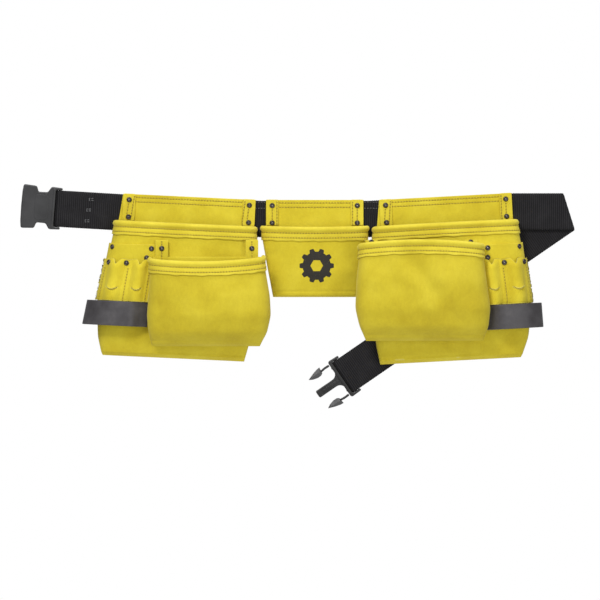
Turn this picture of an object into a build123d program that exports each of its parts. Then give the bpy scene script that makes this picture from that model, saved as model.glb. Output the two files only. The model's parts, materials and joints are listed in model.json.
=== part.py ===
# Toy tool belt: a black webbing belt with a side-release buckle, two suede side bags and a centre pouch.
# Millimetres. +X runs along the belt, +Z is up and -Y is the front, away from the wearer.
# The origin is on the webbing's back face, in the middle of the centre pouch.
from build123d import *
import math
import os

os.makedirs("parts", exist_ok=True)

# ---------------------------------------------------------------- driving dimensions
# webbing
web_width = 38.1
web_thick = 1.6
web_gap = 1.6              # cut between two webbing lengths at a bend
bend_past_bag = 2.0        # side bag's outer corner to the bend line beyond it
bend_setback = 6.0         # centre pouch's side to the upright bend line beside it

# suede
leather = 1.6
rim_thick = 1.4            # folded, double-stitched pocket rim
strip_thick = 1.6          # side strips under the rivets
strip_width = 13.0
panel_overhang = 0.8       # belt panels stand this much above the webbing
seam_height = 2.0          # closed seam along the bottom of each pocket
corner_power = 4.0         # roundness of a pocket's plan section

# centre pouch
centre_width = 101.4
centre_height = 101.0
centre_rim_top = 27.0
centre_rim_height = 14.5
centre_flare = 4.5
centre_depth = 13.0
centre_spread = (1.0, 1.5)       # each side beyond the panel at the rim's top and bottom
centre_waist = (0.75, 0.7)       # share of the height where it tapers, and its share of the depth there
seam_depth = 2.0                 # what is left of a pocket's depth at its closed bottom

# side bags
bag_panel_width = 138.0
bag_rim_top = 28.0
bag_rim_height = 14.5
bag_depth = 22.0
pocket_rim_height = 14.5
pocket_depth = 26.0
tab_inset = 3.0            # tabs stand in from the front pocket's sides
tab_to_rim = 0.5           # the pocket's riveted tabs stop this far below the bag's rim
pocket_gap = 0.4           # between the front pocket's back and the bag's front
bag_strip_end = 0.5        # strips stop this far above the rim

# tool pocket, sleeves and hammer loop
tool_zone = 40.0           # tool panel's inner edge, in from the belt panel's outer side
tool_top = 51.5
sleeve_top = 69.0
sleeve_pitch = 23.5
sleeve_radius = 8.4
sleeve_inset = 11.6        # tool panel's inner edge to the first sleeve's side
sleeve_to_loop = 0.5       # the sleeves end this far above the hammer loop
sleeve_wall = 1.4
loop_width = 25.4
loop_thick = 2.0
loop_over_sleeves = 1.2    # room between the sleeves and the hammer loop
loop_seat = 0.7            # the loop's sewn ends stand this far off the suede
loop_tail = 20.0           # the end sewn behind the bag
loop_swell = (0.7, 1.0, 0.3)     # its stand-off over, between and past the sleeves, as shares of the fullest
loop_lead = 6.0            # it is fullest this far before the second sleeve's centre
loop_fall = 14.0           # first sleeve's centre to where it falls away
loop_turn = 3.0            # room at the bag's outer side
loop_grip = 4.0            # its end is flat this far in from the bag's side

# rivets
rivet_cap_radius = 2.8
rivet_cap_height = 1.5
rivet_dome = 0.9           # rounding of the cap's edge
rivet_shank_radius = 1.2
rivet_inset = 6.5          # rivet centre to a belt panel's side
rivet_drops = (6.0, 24.0)
rivet_margin = 0.2         # a tab's rivet keeps its cap this far above the pocket's mouth
tool_rivet_drop = 4.5      # tool panel's top edge to its rivets
tool_rivet_inset = 1.0     # in from the bag's outer side
sleeve_rivet_rise = 3.2    # the inner sleeve rivet stands above the sleeves' top edge
sleeve_rivet_aside = 3.2
sleeve_rivet_drop = 3.0
sleeve_rivet_inset = 1.5

# side-release buckle
buckle_thick = 9.0
buckle_length = 42.0
buckle_rail = 2.8
bar_radius = 1.6
bar_clearance = 0.5
slot_clearance = 0.5
socket_wall = 1.8
notch_depth = 6.2
notch_length = 11.0
notch_setback = 13.0       # mouth to the near side of the notch
notch_slope = 1.5
shoulder = 4.0             # full width past the slot before the notch begins
mouth_flare = 0.6
socket_round = (1.2, 0.8)  # edge rounding, front and back
slot_past_bar = 5.0        # both slots are cut past the bar, clear of the moulding
bar_let_in = 0.5           # web bars run this far into the rails
cavity_past_guide = 1.5
left_end_tilt = 3.5
socket_tilt = 4.5
left_end_length = 65.68    # last bend line to the socket's web bar
sewn_back = 40.0           # doubled end behind the strap
loop_slant = 9.0           # the doubled layer comes back against the strap over this length
left_belt_tilt = 2.7
plug_thick = 6.4
plug_frame_length = 13.0
guide_length = 27.5
guide_width = 8.2
arm_width = 2.2
arm_reach = 10.0
barb_proud = 0.35          # barbs stand out past the frame's sides
arm_joint_gap = 0.4
frame_lip = 3.6            # moulding between the plug's slot and its tongue
frame_chamfer = 1.0
frame_round = 0.6
tongue_share = 0.6         # of the plug's thickness, for the guide and arms
guide_root = 0.5           # the guide and its flare are let into the frame
flare_width = 7.0          # each side of the guide at its root
flare_start = 0.2
flare_waist = 2.2
flare_length = 7.5
guide_tip = (1.0, 1.5)     # chamfer on the guide's end
stem_setbacks = (3.6, 3.4, 3.8)  # in from the frame's sides at the arm's root, middle and head
stem_lap = 2.0
barb_shape = (
    (26.3, 3.4), (9.2, 0.0), (10.8, 3.55), (11.2, 5.35), (15.0, 7.8), (22.8, 5.6),
)                          # barb corners: from the frame's end, and in from the barb's outer side

# belt ends
fold_top = (52.106, 18.744)      # X and Z of the fold line's ends, from the last bend line's middle
fold_bottom = (66.106, -21.356)
fold_clearance = 0.6
tail_gap = 2.8             # between the two legs at the fold
tail_slope = 36.0
tail_length = 215.0
plug_slope = 34.5
plug_reach = 73.73         # tail's end to the plug's web bar
plug_aside = -0.2
carrier_length = 98.0
return_length = 62.0
layer_gap = 0.3

# what differs between the two side bags: position, tilt and the way the suede has settled
# stations are (drop, inner side, outer side, extra depth): the inner sides are set in from the
# bag's inner corner and the outer sides stand out past its outer corner
# the front pocket's are (inner side, outer side, height), measured from the same two corners but
# level, and its inner side stands out towards the centre pouch where the number is negative
SIDES = {
    "left": {
        "side": -1,
        "gap": 10.4,
        "tilt": left_belt_tilt,
        "stations": [(28.0, 2.5, 3.5, 0.0), (44.0, -0.5, 6.5, 2.5),
                     (112.0, -0.5, 17.8, 3.0), (150.0, 2.0, 15.5, -6.0), (168.5, 6.0, 11.0, -16.0)],
        "pocket": [(-5.6, -31.6, -39.0), (-12.6, -29.6, -80.0), (-13.6, -27.9, -100.0),
                   (-9.6, -29.6, -118.0), (-2.6, -32.6, -132.0)],
        "loop_out": 31.0,
        "loop_drop": 124.5,
        "tools_shift": 0.0,
        "tool_rivet": 7.0,
    },
    "right": {
        "side": 1,
        "gap": 16.1,
        "tilt": 3.0,
        "stations": [(28.0, -3.5, 0.0, 0.0), (44.0, -7.0, 3.5, 2.5),
                     (112.0, -8.0, 10.3, 3.0), (150.0, -9.0, 6.0, -6.0), (171.0, -6.0, -2.0, -16.0)],
        "pocket": [(-17.8, -34.3, -27.5), (-21.8, -29.8, -64.0), (-22.8, -25.8, -93.0),
                   (-18.3, -27.8, -112.0), (-12.3, -32.8, -126.5)],
        "loop_out": 23.8,
        "loop_drop": 128.0,
        "tools_shift": -1.0,
        "tool_rivet": 12.0,
    },
}
POCKET_SWELL = (0.80, 1.0, 0.97, 0.75, 0.14)   # pocket depth at its five stations

# ---------------------------------------------------------------- derived places
half_web = web_width / 2
centre_half = centre_width / 2
wrap_axis_x = centre_half + bend_setback
tool_inner = bag_panel_width - tool_zone
sleeve_first = sleeve_radius + sleeve_inset
clip_reach = 3 * (bag_panel_width + centre_height)      # longer than any piece that is cut to length
panel_top = half_web + panel_overhang
panel_front = web_thick + leather             # front face of every belt panel, forward of y = 0
loop_inner_radius = bar_radius + bar_clearance
loop_mid_radius = loop_inner_radius + web_thick / 2
tail_back = tail_gap                          # front face of the folded leg
carrier_front = tail_back + web_thick + layer_gap
plug_bar_y = carrier_front + web_thick + loop_inner_radius


def hang_plane(origin_x, tilt, side):
    """Front-facing plane at a bag's inner top corner: x along the belt, y up, z forward."""
    angle = math.radians(tilt)
    return Plane(
        origin=(side * origin_x, 0, panel_top),
        x_dir=(math.cos(angle), 0, side * math.sin(angle)),
        z_dir=(0, -1, 0),
    )


def section_plane(front, drop):
    """Plan section of a bag at a given drop below its top."""
    return Plane(origin=front.origin - front.y_dir * drop, x_dir=front.x_dir, z_dir=front.y_dir)


def pouch_arc(inner, outer, depth, base):
    """Points of a pocket's rounded plan section, from one side to the other."""
    centre = (inner + outer) / 2
    half = (outer - inner) / 2
    steps = 12
    points = []
    for step in range(steps + 1):
        angle = math.pi * step / steps
        across = math.copysign(abs(math.cos(angle)) ** (2 / corner_power), math.cos(angle))
        forward = abs(math.sin(angle)) ** (2 / corner_power)
        points.append((centre + half * across, -(base + depth * forward)))
    points[0] = (outer, -base)
    points[-1] = (inner, -base)
    return points


def pouch(front, stations, base, grow):
    """Solid pouch lofted down through its plan sections; grow thickens it sideways and forward."""
    with BuildPart() as body:
        for drop, low, high, depth in stations:
            with BuildSketch(section_plane(front, drop)):
                with BuildLine():
                    arc = Spline(pouch_arc(low - grow, high + grow, depth + grow, base))
                    Line(arc @ 1, arc @ 0)
                make_face()
        loft(ruled=True)
    return body.part


def between(stations, drop):
    """Station at any drop, in line between its neighbours."""
    for upper, lower in zip(stations, stations[1:]):
        if drop <= lower[0]:
            share = (drop - upper[0]) / (lower[0] - upper[0])
            return tuple(a + (b - a) * share for a, b in zip(upper, lower))
    return stations[-1]


def cut_stations(stations, top, bottom):
    """The stretch of a pouch from one drop to another."""
    inside = [station for station in stations if top < station[0] < bottom]
    return [between(stations, top)] + inside + [between(stations, bottom)]


def pouch_wall(front, stations, base, inner_grow, outer_grow):
    """Open-mouthed wall between two sizes of the same pouch, closed along its bottom seam."""
    cavity = list(stations)
    cavity[-1] = between(stations, stations[-1][0] - seam_height)
    return pouch(front, stations, base, outer_grow) - pouch(front, cavity, base, inner_grow)


def pouch_band(front, stations, top, bottom, base, inner_grow, outer_grow):
    """Band that lies on a pouch between two drops."""
    part = cut_stations(stations, top, bottom)
    return pouch(front, part, base, outer_grow) - pouch(front, part, base, inner_grow)


def surface_forward(station, base, grow, across):
    """How far forward a pouch's skin stands at one place across it."""
    _, low, high, depth = station
    share = (across - (low + high) / 2) / ((high - low) / 2 + grow)
    share = min(abs(share), 0.98)
    return base + (depth + grow) * (1 - share ** corner_power) ** (1 / corner_power)


def surface_turn(station, grow, across):
    """Angle by which a pouch's skin faces sideways at one place across it."""
    _, low, high, depth = station
    half = (high - low) / 2 + grow
    share = (across - (low + high) / 2) / half
    share = math.copysign(min(abs(share), 0.98), share)
    height = (1 - abs(share) ** corner_power) ** (1 / corner_power)
    sideways = abs(share) ** (corner_power - 1) / half
    forward = height ** (corner_power - 1) / (depth + grow)
    return math.copysign(math.degrees(math.atan2(sideways, forward)), share)


def rivet(front, across, drop, forward, length, turn=0.0):
    """One tubular rivet: a domed cap on the skin and a shank behind it; turn faces it sideways."""
    angle = math.radians(turn)
    seat = Plane(
        origin=front.origin + front.x_dir * across - front.y_dir * drop + front.z_dir * forward,
        x_dir=front.x_dir * math.cos(angle) - front.z_dir * math.sin(angle),
        z_dir=front.z_dir * math.cos(angle) + front.x_dir * math.sin(angle),
    )
    with BuildPart() as body:
        with BuildSketch(seat):
            Circle(rivet_cap_radius)
        extrude(amount=rivet_cap_height)
        outward = Axis(seat.origin, seat.z_dir)
        fillet(body.faces().sort_by(outward)[-1].edges(), rivet_dome)
        with BuildSketch(seat):
            Circle(rivet_shank_radius)
        extrude(amount=-length)
    return body.part


def group(shapes):
    """Several separate solids kept together as one piece."""
    return Compound(children=shapes)


def plate(front, corners, back, thick):
    """Flat sheet on a front-facing plane, from `back` forward by `thick`."""
    with BuildPart() as body:
        with BuildSketch(front.offset(back)):
            with BuildLine():
                Polyline(*corners, close=True)
            make_face()
        extrude(amount=thick)
    return body.part


def save(shape, name):
    shape.label = name
    export_step(shape, f"parts/{name}.step")


# ---------------------------------------------------------------- centre pouch
centre_front = hang_plane(0, 0, 1)
centre_rim_bottom = centre_rim_top + centre_rim_height
centre_stations = [
    (centre_rim_top, -centre_half - centre_spread[0], centre_half + centre_spread[0], centre_depth),
    (centre_rim_bottom, -centre_half - centre_spread[1], centre_half + centre_spread[1], centre_depth),
    (centre_height * centre_waist[0], -centre_half + centre_flare, centre_half - centre_flare,
     centre_depth * centre_waist[1]),
    (centre_height, -centre_half + 2 * centre_flare, centre_half - 2 * centre_flare, seam_depth),
]
centre_outline = [
    (-centre_half, 0),
    (centre_half, 0),
    (centre_half, -centre_rim_top),
    (centre_stations[1][2], -centre_stations[1][0]),
    (centre_stations[2][2], -centre_stations[2][0]),
    (centre_stations[3][2], -centre_stations[3][0]),
    (centre_stations[3][1], -centre_stations[3][0]),
    (centre_stations[2][1], -centre_stations[2][0]),
    (centre_stations[1][1], -centre_stations[1][0]),
    (-centre_half, -centre_rim_top),
]
save(plate(centre_front, centre_outline, web_thick, leather), "centre_belt_panel")
save(pouch_wall(centre_front, centre_stations, panel_front, 0, leather), "centre_pocket_front")
save(
    pouch_band(centre_front, centre_stations, centre_rim_top, centre_rim_bottom,
               panel_front, leather, leather + rim_thick),
    "centre_pocket_rim",
)


def side_strips(front, side, width, strip_bottom):
    """The two upright strips at the ends of a belt panel."""
    strips = []
    for start in (0, width - strip_width):
        corners = [
            (side * start, 0),
            (side * (start + strip_width), 0),
            (side * (start + strip_width), -strip_bottom),
            (side * start, -strip_bottom),
        ]
        strips.append(plate(front, corners, panel_front, strip_thick))
    return strips


def panel_rivets(front, side, width):
    """Rivets through the side strips, two in each."""
    seat = panel_front + strip_thick
    length = strip_thick + leather
    rivets = []
    for across in (rivet_inset, width - rivet_inset):
        for drop in rivet_drops:
            rivets.append(rivet(front, side * across, drop, seat, length))
    return rivets


centre_corner = hang_plane(centre_half, 0, -1)
save(group(side_strips(centre_corner, 1, centre_width, centre_rim_top - bag_strip_end)),
     "centre_side_strips")
save(group(panel_rivets(centre_corner, 1, centre_width)), "centre_rivets")


# ---------------------------------------------------------------- side bags
def bag_stations(spec):
    """Main pocket stations in signed coordinates across the belt."""
    rows = []
    for drop, inner, outer, extra in spec["stations"]:
        depth = bag_depth + extra
        low, high = sorted((spec["side"] * inner, spec["side"] * (bag_panel_width + outer)))
        rows.append((drop, low, high, depth))
    return rows


def pocket_rows(spec):
    """Front pocket stations (drop, low, high, depth) on the level plane."""
    inner_corner = centre_half + spec["gap"]
    outer_corner = inner_corner + bag_panel_width
    rows = []
    for (inner, outer, height), swell in zip(spec["pocket"], POCKET_SWELL):
        low, high = sorted((spec["side"] * (inner_corner + inner), spec["side"] * (outer_corner + outer)))
        rows.append((-height, low, high, pocket_depth * swell))
    return rows


def belt_panel_outline(spec):
    """Back panel: straight at the belt, then as wide as the main pocket."""
    side = spec["side"]
    outer_side = [(side * (bag_panel_width + outer), -drop) for drop, _, outer, _ in spec["stations"]]
    inner_side = [(side * inner, -drop) for drop, inner, _, _ in reversed(spec["stations"])]
    return [(0, 0), (side * bag_panel_width, 0)] + outer_side + inner_side


def outer_edge(stations, side, drop):
    """Distance from the bag's inner corner to the main pocket's outer side at one drop."""
    _, low, high, _ = between(stations, drop)
    return abs(high if side > 0 else low)


def clip_across(front, side, shape, start, end):
    """Keep the part of a shape between two distances from the bag's inner corner."""
    low, high = sorted((side * start, side * end))
    corners = [(low, clip_reach), (high, clip_reach), (high, -clip_reach), (low, -clip_reach)]
    return shape & plate(front, corners, -clip_reach, 2 * clip_reach)


def sleeve_places(spec):
    """Centres of the two tool sleeves, from the bag's inner corner."""
    first = tool_inner + sleeve_first + spec["tools_shift"]
    return (first, first + sleeve_pitch)


def tool_sleeves(front, side, stations, spec):
    """Two half-round sleeves and the flat seams beside them, on the tool panel."""
    skin = 2 * leather
    bottom = spec["loop_drop"] - loop_width / 2 - sleeve_to_loop
    sleeve_height = bottom - sleeve_top
    cover = pouch_band(front, stations, sleeve_top, bottom, panel_front, skin, skin + sleeve_wall)
    start = sleeve_places(spec)[0] - sleeve_radius
    shape = clip_across(front, side, cover, start, clip_reach)
    backing = pouch(front, cut_stations(stations, sleeve_top, bottom), panel_front, skin)
    middle = between(stations, sleeve_top + sleeve_height / 2)
    for across in sleeve_places(spec):
        forward = surface_forward(middle, panel_front, skin, side * across)
        with BuildPart() as tube:
            with BuildSketch(section_plane(front, sleeve_top)):
                with Locations((side * across, -forward)):
                    Circle(sleeve_radius)
            extrude(amount=-sleeve_height)
        with BuildPart() as hollow:
            with BuildSketch(section_plane(front, sleeve_top)):
                with Locations((side * across, -forward)):
                    Circle(sleeve_radius - sleeve_wall)
            extrude(amount=-sleeve_height)
        shape = shape + (tube.part - backing)
        shape = shape - (hollow.part - backing)
    return shape


def hammer_loop(front, side, stations, spec):
    """Leather strap that leaves the tool panel, clears the sleeves and comes back behind the bag."""
    skin = 2 * leather
    drop = spec["loop_drop"]
    station = between(stations, drop)
    sleeves = sleeve_places(spec)
    start = sleeves[0] - sleeve_radius
    clear = sleeve_radius + loop_thick / 2 + loop_over_sleeves

    def ahead(across, extra):
        return -(surface_forward(station, panel_front, skin, side * across) + extra)

    edge = outer_edge(stations, side, drop)
    out = bag_panel_width + spec["loop_out"]
    behind = -(web_thick - loop_thick / 2)
    with BuildPart() as strap:
        with BuildSketch(section_plane(front, drop - loop_width / 2)):
            with BuildLine():
                Spline(
                    (side * start, ahead(start, loop_thick / 2 + loop_seat)),
                    (side * sleeves[0], ahead(sleeves[0], clear * loop_swell[0])),
                    (side * (sleeves[1] - loop_lead),
                     ahead(sleeves[0] + sleeve_radius, clear * loop_swell[1])),
                    (side * (edge + loop_turn), ahead(sleeves[0] + loop_fall, clear * loop_swell[2])),
                    (side * out, -(panel_front + bag_depth / 2)),
                    (side * (edge + 2 * leather + loop_turn), -(web_thick + loop_seat)),
                    (side * (edge - loop_grip), behind),
                    (side * (edge - loop_tail), behind),
                )
            trace(line_width=loop_thick)
        extrude(amount=-loop_width)
    return strap.part


# the front pockets hang level, and so do the centre pouch and the webbing behind it
level_front = Plane(origin=(0, 0, 0), x_dir=(1, 0, 0), z_dir=(0, -1, 0))

for name, spec in SIDES.items():
    side = spec["side"]
    front = hang_plane(centre_half + spec["gap"], spec["tilt"], side)
    stations = bag_stations(spec)
    rim_bottom = bag_rim_top + bag_rim_height
    bag_bottom = stations[-1][0]

    save(plate(front, belt_panel_outline(spec), web_thick, leather), f"{name}_belt_panel")
    save(group(side_strips(front, side, bag_panel_width, bag_rim_top - bag_strip_end)),
         f"{name}_side_strips")
    save(pouch_wall(front, stations, panel_front, 0, leather), f"{name}_main_front")
    save(pouch_band(front, stations, bag_rim_top, rim_bottom, panel_front, leather,
                    leather + rim_thick), f"{name}_main_rim")

    # tool panel, sleeves and hammer loop on the outer part of the bag's front
    panel = pouch_band(front, stations, tool_top, bag_bottom - seam_height, panel_front, leather,
                       2 * leather)
    save(clip_across(front, side, panel, tool_inner + spec["tools_shift"], clip_reach), f"{name}_tool_panel")
    save(tool_sleeves(front, side, stations, spec), f"{name}_tool_sleeves")
    save(hammer_loop(front, side, stations, spec), f"{name}_hammer_loop")

    # front pocket with its own back, hung level on the bag's front
    deepest = max(depth for _, _, _, depth in stations)
    pocket_back = panel_front + deepest + 2 * leather + pocket_gap
    pocket_base = pocket_back + leather
    pocket_stations = pocket_rows(spec)
    pocket_mouth = pocket_stations[0][0]
    mouth_drop = pocket_mouth + panel_top
    tab_rise = mouth_drop - rim_bottom - tab_to_rim
    rivet_rise = max(rivet_cap_radius + rivet_margin, tab_rise / 2)
    _, mouth_low, mouth_high, _ = pocket_stations[0]
    tab_starts = (mouth_low + tab_inset, mouth_high - tab_inset - strip_width)
    outline = []
    for drop, low, high, _ in pocket_stations:
        outline.append((high, -drop))
    for drop, low, high, _ in reversed(pocket_stations):
        outline.append((low, -drop))
    back = plate(level_front, outline, pocket_back, leather)
    pocket_rivets = []
    for tab_low in tab_starts:
        tab_high = tab_low + strip_width
        tab_bottom = -pocket_mouth - leather
        tab_end = -pocket_mouth + tab_rise
        tab_corners = [(tab_low, tab_bottom), (tab_high, tab_bottom),
                       (tab_high, tab_end), (tab_low, tab_end)]
        tab = plate(level_front, tab_corners, pocket_back, leather)
        back = back + tab
        pocket_rivets.append(rivet(level_front, (tab_low + tab_high) / 2, pocket_mouth - rivet_rise,
                                   pocket_base, leather + pocket_gap + leather))
    save(back, f"{name}_pocket_back")
    save(pouch_wall(level_front, pocket_stations, pocket_base, 0, leather), f"{name}_pocket_front")
    save(pouch_band(level_front, pocket_stations, pocket_mouth, pocket_mouth + pocket_rim_height,
                    pocket_base, leather, leather + rim_thick), f"{name}_pocket_rim")

    first, second = sleeve_places(spec)
    # rivets: four in the side strips, two in the pocket tabs, five on the tool panel and sleeves
    rivets = panel_rivets(front, side, bag_panel_width) + pocket_rivets
    panel_skin = 2 * leather
    sleeve_skin = panel_skin + sleeve_wall
    upper_row = tool_top + tool_rivet_drop
    lower_row = sleeve_top + sleeve_rivet_drop
    half_pitch = sleeve_pitch / 2
    tool_places = [
        (tool_inner + spec["tool_rivet"] + spec["tools_shift"], upper_row, panel_skin),
        (outer_edge(stations, side, upper_row) - tool_rivet_inset, upper_row, panel_skin),
        (first - half_pitch + sleeve_rivet_aside, sleeve_top - sleeve_rivet_rise, panel_skin),
        (first + half_pitch, lower_row, sleeve_skin),
        (second + half_pitch - sleeve_rivet_inset, lower_row, sleeve_skin),
    ]
    for across, drop, skin in tool_places:
        here = between(stations, drop)
        forward = surface_forward(here, panel_front, skin, side * across)
        turn = surface_turn(here, skin, side * across)
        rivets.append(rivet(front, side * across, drop, forward, skin, turn))
    save(group(rivets), f"{name}_rivets")


# ---------------------------------------------------------------- webbing behind the bags
def strap(front, start, end, back, thick):
    """Straight webbing between two distances along a plane whose y = 0 is the webbing's centre."""
    low, high = sorted((start, end))
    corners = [(low, half_web), (high, half_web), (high, -half_web), (low, -half_web)]
    return plate(front, corners, back, thick)


bend_cut = web_gap / 2
save(strap(level_front, -wrap_axis_x + bend_cut, wrap_axis_x - bend_cut, 0, web_thick), "webbing_centre")


def belt_line(spec):
    """Plane along the webbing's centre line behind a side bag, starting at its bend line."""
    angle = math.radians(spec["tilt"])
    side = spec["side"]
    return Plane(origin=(side * wrap_axis_x, 0, 0), x_dir=(math.cos(angle), 0, side * math.sin(angle)),
                 z_dir=(0, -1, 0))


bag_reach = {}
for name, spec in SIDES.items():
    side = spec["side"]
    bag_reach[name] = centre_half + spec["gap"] - wrap_axis_x + bag_panel_width + bend_past_bag
    save(strap(belt_line(spec), side * bend_cut, side * (bag_reach[name] - bend_cut), 0, web_thick),
         f"webbing_{name}_bag")


def along(plane, across):
    """World X and Z of a point on a front-facing plane's own centre line."""
    point = plane.origin + plane.x_dir * across
    return point.X, point.Z


# ---------------------------------------------------------------- left end: strap and buckle socket
left_line = belt_line(SIDES["left"])
left_turn_x, left_turn_z = along(left_line, -bag_reach["left"])
end_angle = math.radians(left_end_tilt)
end_line = Plane(origin=(left_turn_x, 0, left_turn_z), x_dir=(math.cos(end_angle), 0, -math.sin(end_angle)),
                 z_dir=(0, -1, 0))
socket_bar = -left_end_length
with BuildPart() as webbing_left_end:
    with BuildSketch(Plane(origin=end_line.origin - end_line.y_dir * half_web,
                           x_dir=end_line.x_dir, z_dir=end_line.y_dir)):
        with BuildLine():
            Line((-bend_cut, -web_thick / 2), (socket_bar, -web_thick / 2))
            turn = CenterArc((socket_bar, loop_inner_radius), loop_mid_radius, 270, -180)
            doubled = web_thick / 2 + layer_gap
            slant = Line(turn @ 1, (socket_bar + loop_slant, doubled))
            Line(slant @ 1, (socket_bar + sewn_back, doubled))
        trace(line_width=web_thick)
    extrude(amount=web_width)
save(webbing_left_end.part, "webbing_left_end")

bar_x, bar_z = along(end_line, socket_bar)
socket_angle = math.radians(socket_tilt)
socket_plane = Plane(origin=(bar_x, loop_inner_radius, bar_z),
                     x_dir=(math.cos(socket_angle), 0, -math.sin(socket_angle)), z_dir=(0, -1, 0))
slot_half = half_web + slot_clearance
bar_half = slot_half + bar_let_in
socket_half = slot_half + buckle_rail
slot_reach = loop_mid_radius + web_thick / 2 + slot_clearance
mouth = -(buckle_length - bar_radius)
cavity_half = socket_half - socket_wall
with BuildPart() as buckle_socket:
    with BuildSketch(socket_plane.offset(-buckle_thick / 2)):
        with BuildLine():
            Polyline(
                (bar_radius, socket_half),
                (-slot_reach - shoulder, socket_half),
                (mouth + notch_setback + notch_length, socket_half - notch_depth),
                (mouth + notch_setback, socket_half - notch_depth),
                (mouth + notch_setback - notch_slope, socket_half),
                (mouth, socket_half + mouth_flare),
                (mouth, -socket_half - mouth_flare),
                (mouth + notch_setback - notch_slope, -socket_half),
                (mouth + notch_setback, -socket_half + notch_depth),
                (mouth + notch_setback + notch_length, -socket_half + notch_depth),
                (-slot_reach - shoulder, -socket_half),
                (bar_radius, -socket_half),
                close=True,
            )
        make_face()
    extrude(amount=buckle_thick)
    fillet(buckle_socket.faces().group_by(Axis.Y)[0].edges(), socket_round[0])
    fillet(buckle_socket.faces().group_by(Axis.Y)[-1].edges(), socket_round[1])
    # slot for the webbing, open towards the strap
    with BuildSketch(socket_plane.offset(-buckle_thick)):
        with Locations(((bar_radius + slot_past_bar - slot_reach) / 2, 0)):
            Rectangle(slot_reach + bar_radius + slot_past_bar, 2 * slot_half)
    extrude(amount=2 * buckle_thick, mode=Mode.SUBTRACT)
    # cavity for the plug
    with BuildSketch(Plane(origin=socket_plane.origin + socket_plane.x_dir * mouth,
                           x_dir=socket_plane.y_dir, z_dir=socket_plane.x_dir)):
        Rectangle(2 * cavity_half, buckle_thick - 2 * socket_wall)
    extrude(amount=guide_length + cavity_past_guide, mode=Mode.SUBTRACT)
    # web bar
    with BuildSketch(Plane(origin=socket_plane.origin - socket_plane.y_dir * bar_half,
                           x_dir=socket_plane.x_dir, z_dir=socket_plane.y_dir)):
        Circle(bar_radius)
    extrude(amount=2 * bar_half)
save(buckle_socket.part, "buckle_socket")

# ---------------------------------------------------------------- right end: strap, fold and tail
right_line = belt_line(SIDES["right"])
turn_x, turn_z = along(right_line, bag_reach["right"])
fold_dx = fold_bottom[0] - fold_top[0]
fold_dz = fold_bottom[1] - fold_top[1]
fold_run = math.hypot(fold_dx, fold_dz)
fold_unit = (fold_dx / fold_run, fold_dz / fold_run)
fold_mid = (turn_x + (fold_top[0] + fold_bottom[0]) / 2, turn_z + (fold_top[1] + fold_bottom[1]) / 2)


def fold_x(height, setback):
    """X on the fold line at a height, set back towards the belt."""
    return fold_mid[0] + fold_unit[0] / fold_unit[1] * (height - fold_mid[1]) - setback


right_top = turn_z + half_web
right_low = turn_z - half_web
setback = fold_clearance / abs(fold_unit[1])
front_leg = [
    (turn_x + bend_cut, right_low),
    (fold_x(right_low, setback), right_low),
    (fold_x(right_top, setback), right_top),
    (turn_x + bend_cut, right_top),
]
save(plate(level_front, front_leg, 0, web_thick), "webbing_right_end")

slope = math.radians(tail_slope)
tail_dir = (-math.cos(slope), -math.sin(slope))
tail_side = (-tail_dir[1], tail_dir[0])


def meets_fold(offset):
    """Where a line along the tail, `offset` to its side, starts at the set-back fold line."""
    start = (fold_mid[0] - setback + tail_side[0] * offset, fold_mid[1] + tail_side[1] * offset)
    cross = fold_unit[0] * tail_dir[1] - fold_unit[1] * tail_dir[0]
    reach = (fold_unit[0] * (fold_mid[1] - start[1]) - fold_unit[1] * (fold_mid[0] - setback - start[0]))
    step = -reach / cross
    return (start[0] - tail_dir[0] * step, start[1] - tail_dir[1] * step)


def on_tail(distance, offset):
    """A point along the tail's centre line and to its side."""
    return (fold_mid[0] + tail_dir[0] * distance + tail_side[0] * offset,
            fold_mid[1] + tail_dir[1] * distance + tail_side[1] * offset)


tail_outline = [meets_fold(half_web), on_tail(tail_length, half_web),
                on_tail(tail_length, -half_web), meets_fold(-half_web)]
save(plate(level_front, tail_outline, -tail_back - web_thick, web_thick), "webbing_tail")

# adjustable end: the webbing goes round the plug's bar and doubles back
plug_angle = math.radians(plug_slope)
plug_x, plug_z = on_tail(tail_length + plug_reach, plug_aside)
plug_plane = Plane(origin=(plug_x, plug_bar_y, plug_z),
                   x_dir=(-math.cos(plug_angle), 0, -math.sin(plug_angle)), z_dir=(0, -1, 0))
with BuildPart() as webbing_adjuster:
    with BuildSketch(Plane(origin=plug_plane.origin - plug_plane.y_dir * half_web,
                           x_dir=plug_plane.x_dir, z_dir=plug_plane.y_dir)):
        with BuildLine():
            lead = -(loop_inner_radius + web_thick / 2)
            Line((-carrier_length, lead), (0, lead))
            turn = CenterArc((0, 0), loop_mid_radius, 270, 180)
            back_run = lead + web_thick + layer_gap
            slant = Line(turn @ 1, (-loop_slant, back_run))
            Line(slant @ 1, (-return_length, back_run))
        trace(line_width=web_thick)
    extrude(amount=web_width)
save(webbing_adjuster.part, "webbing_adjuster")

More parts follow.
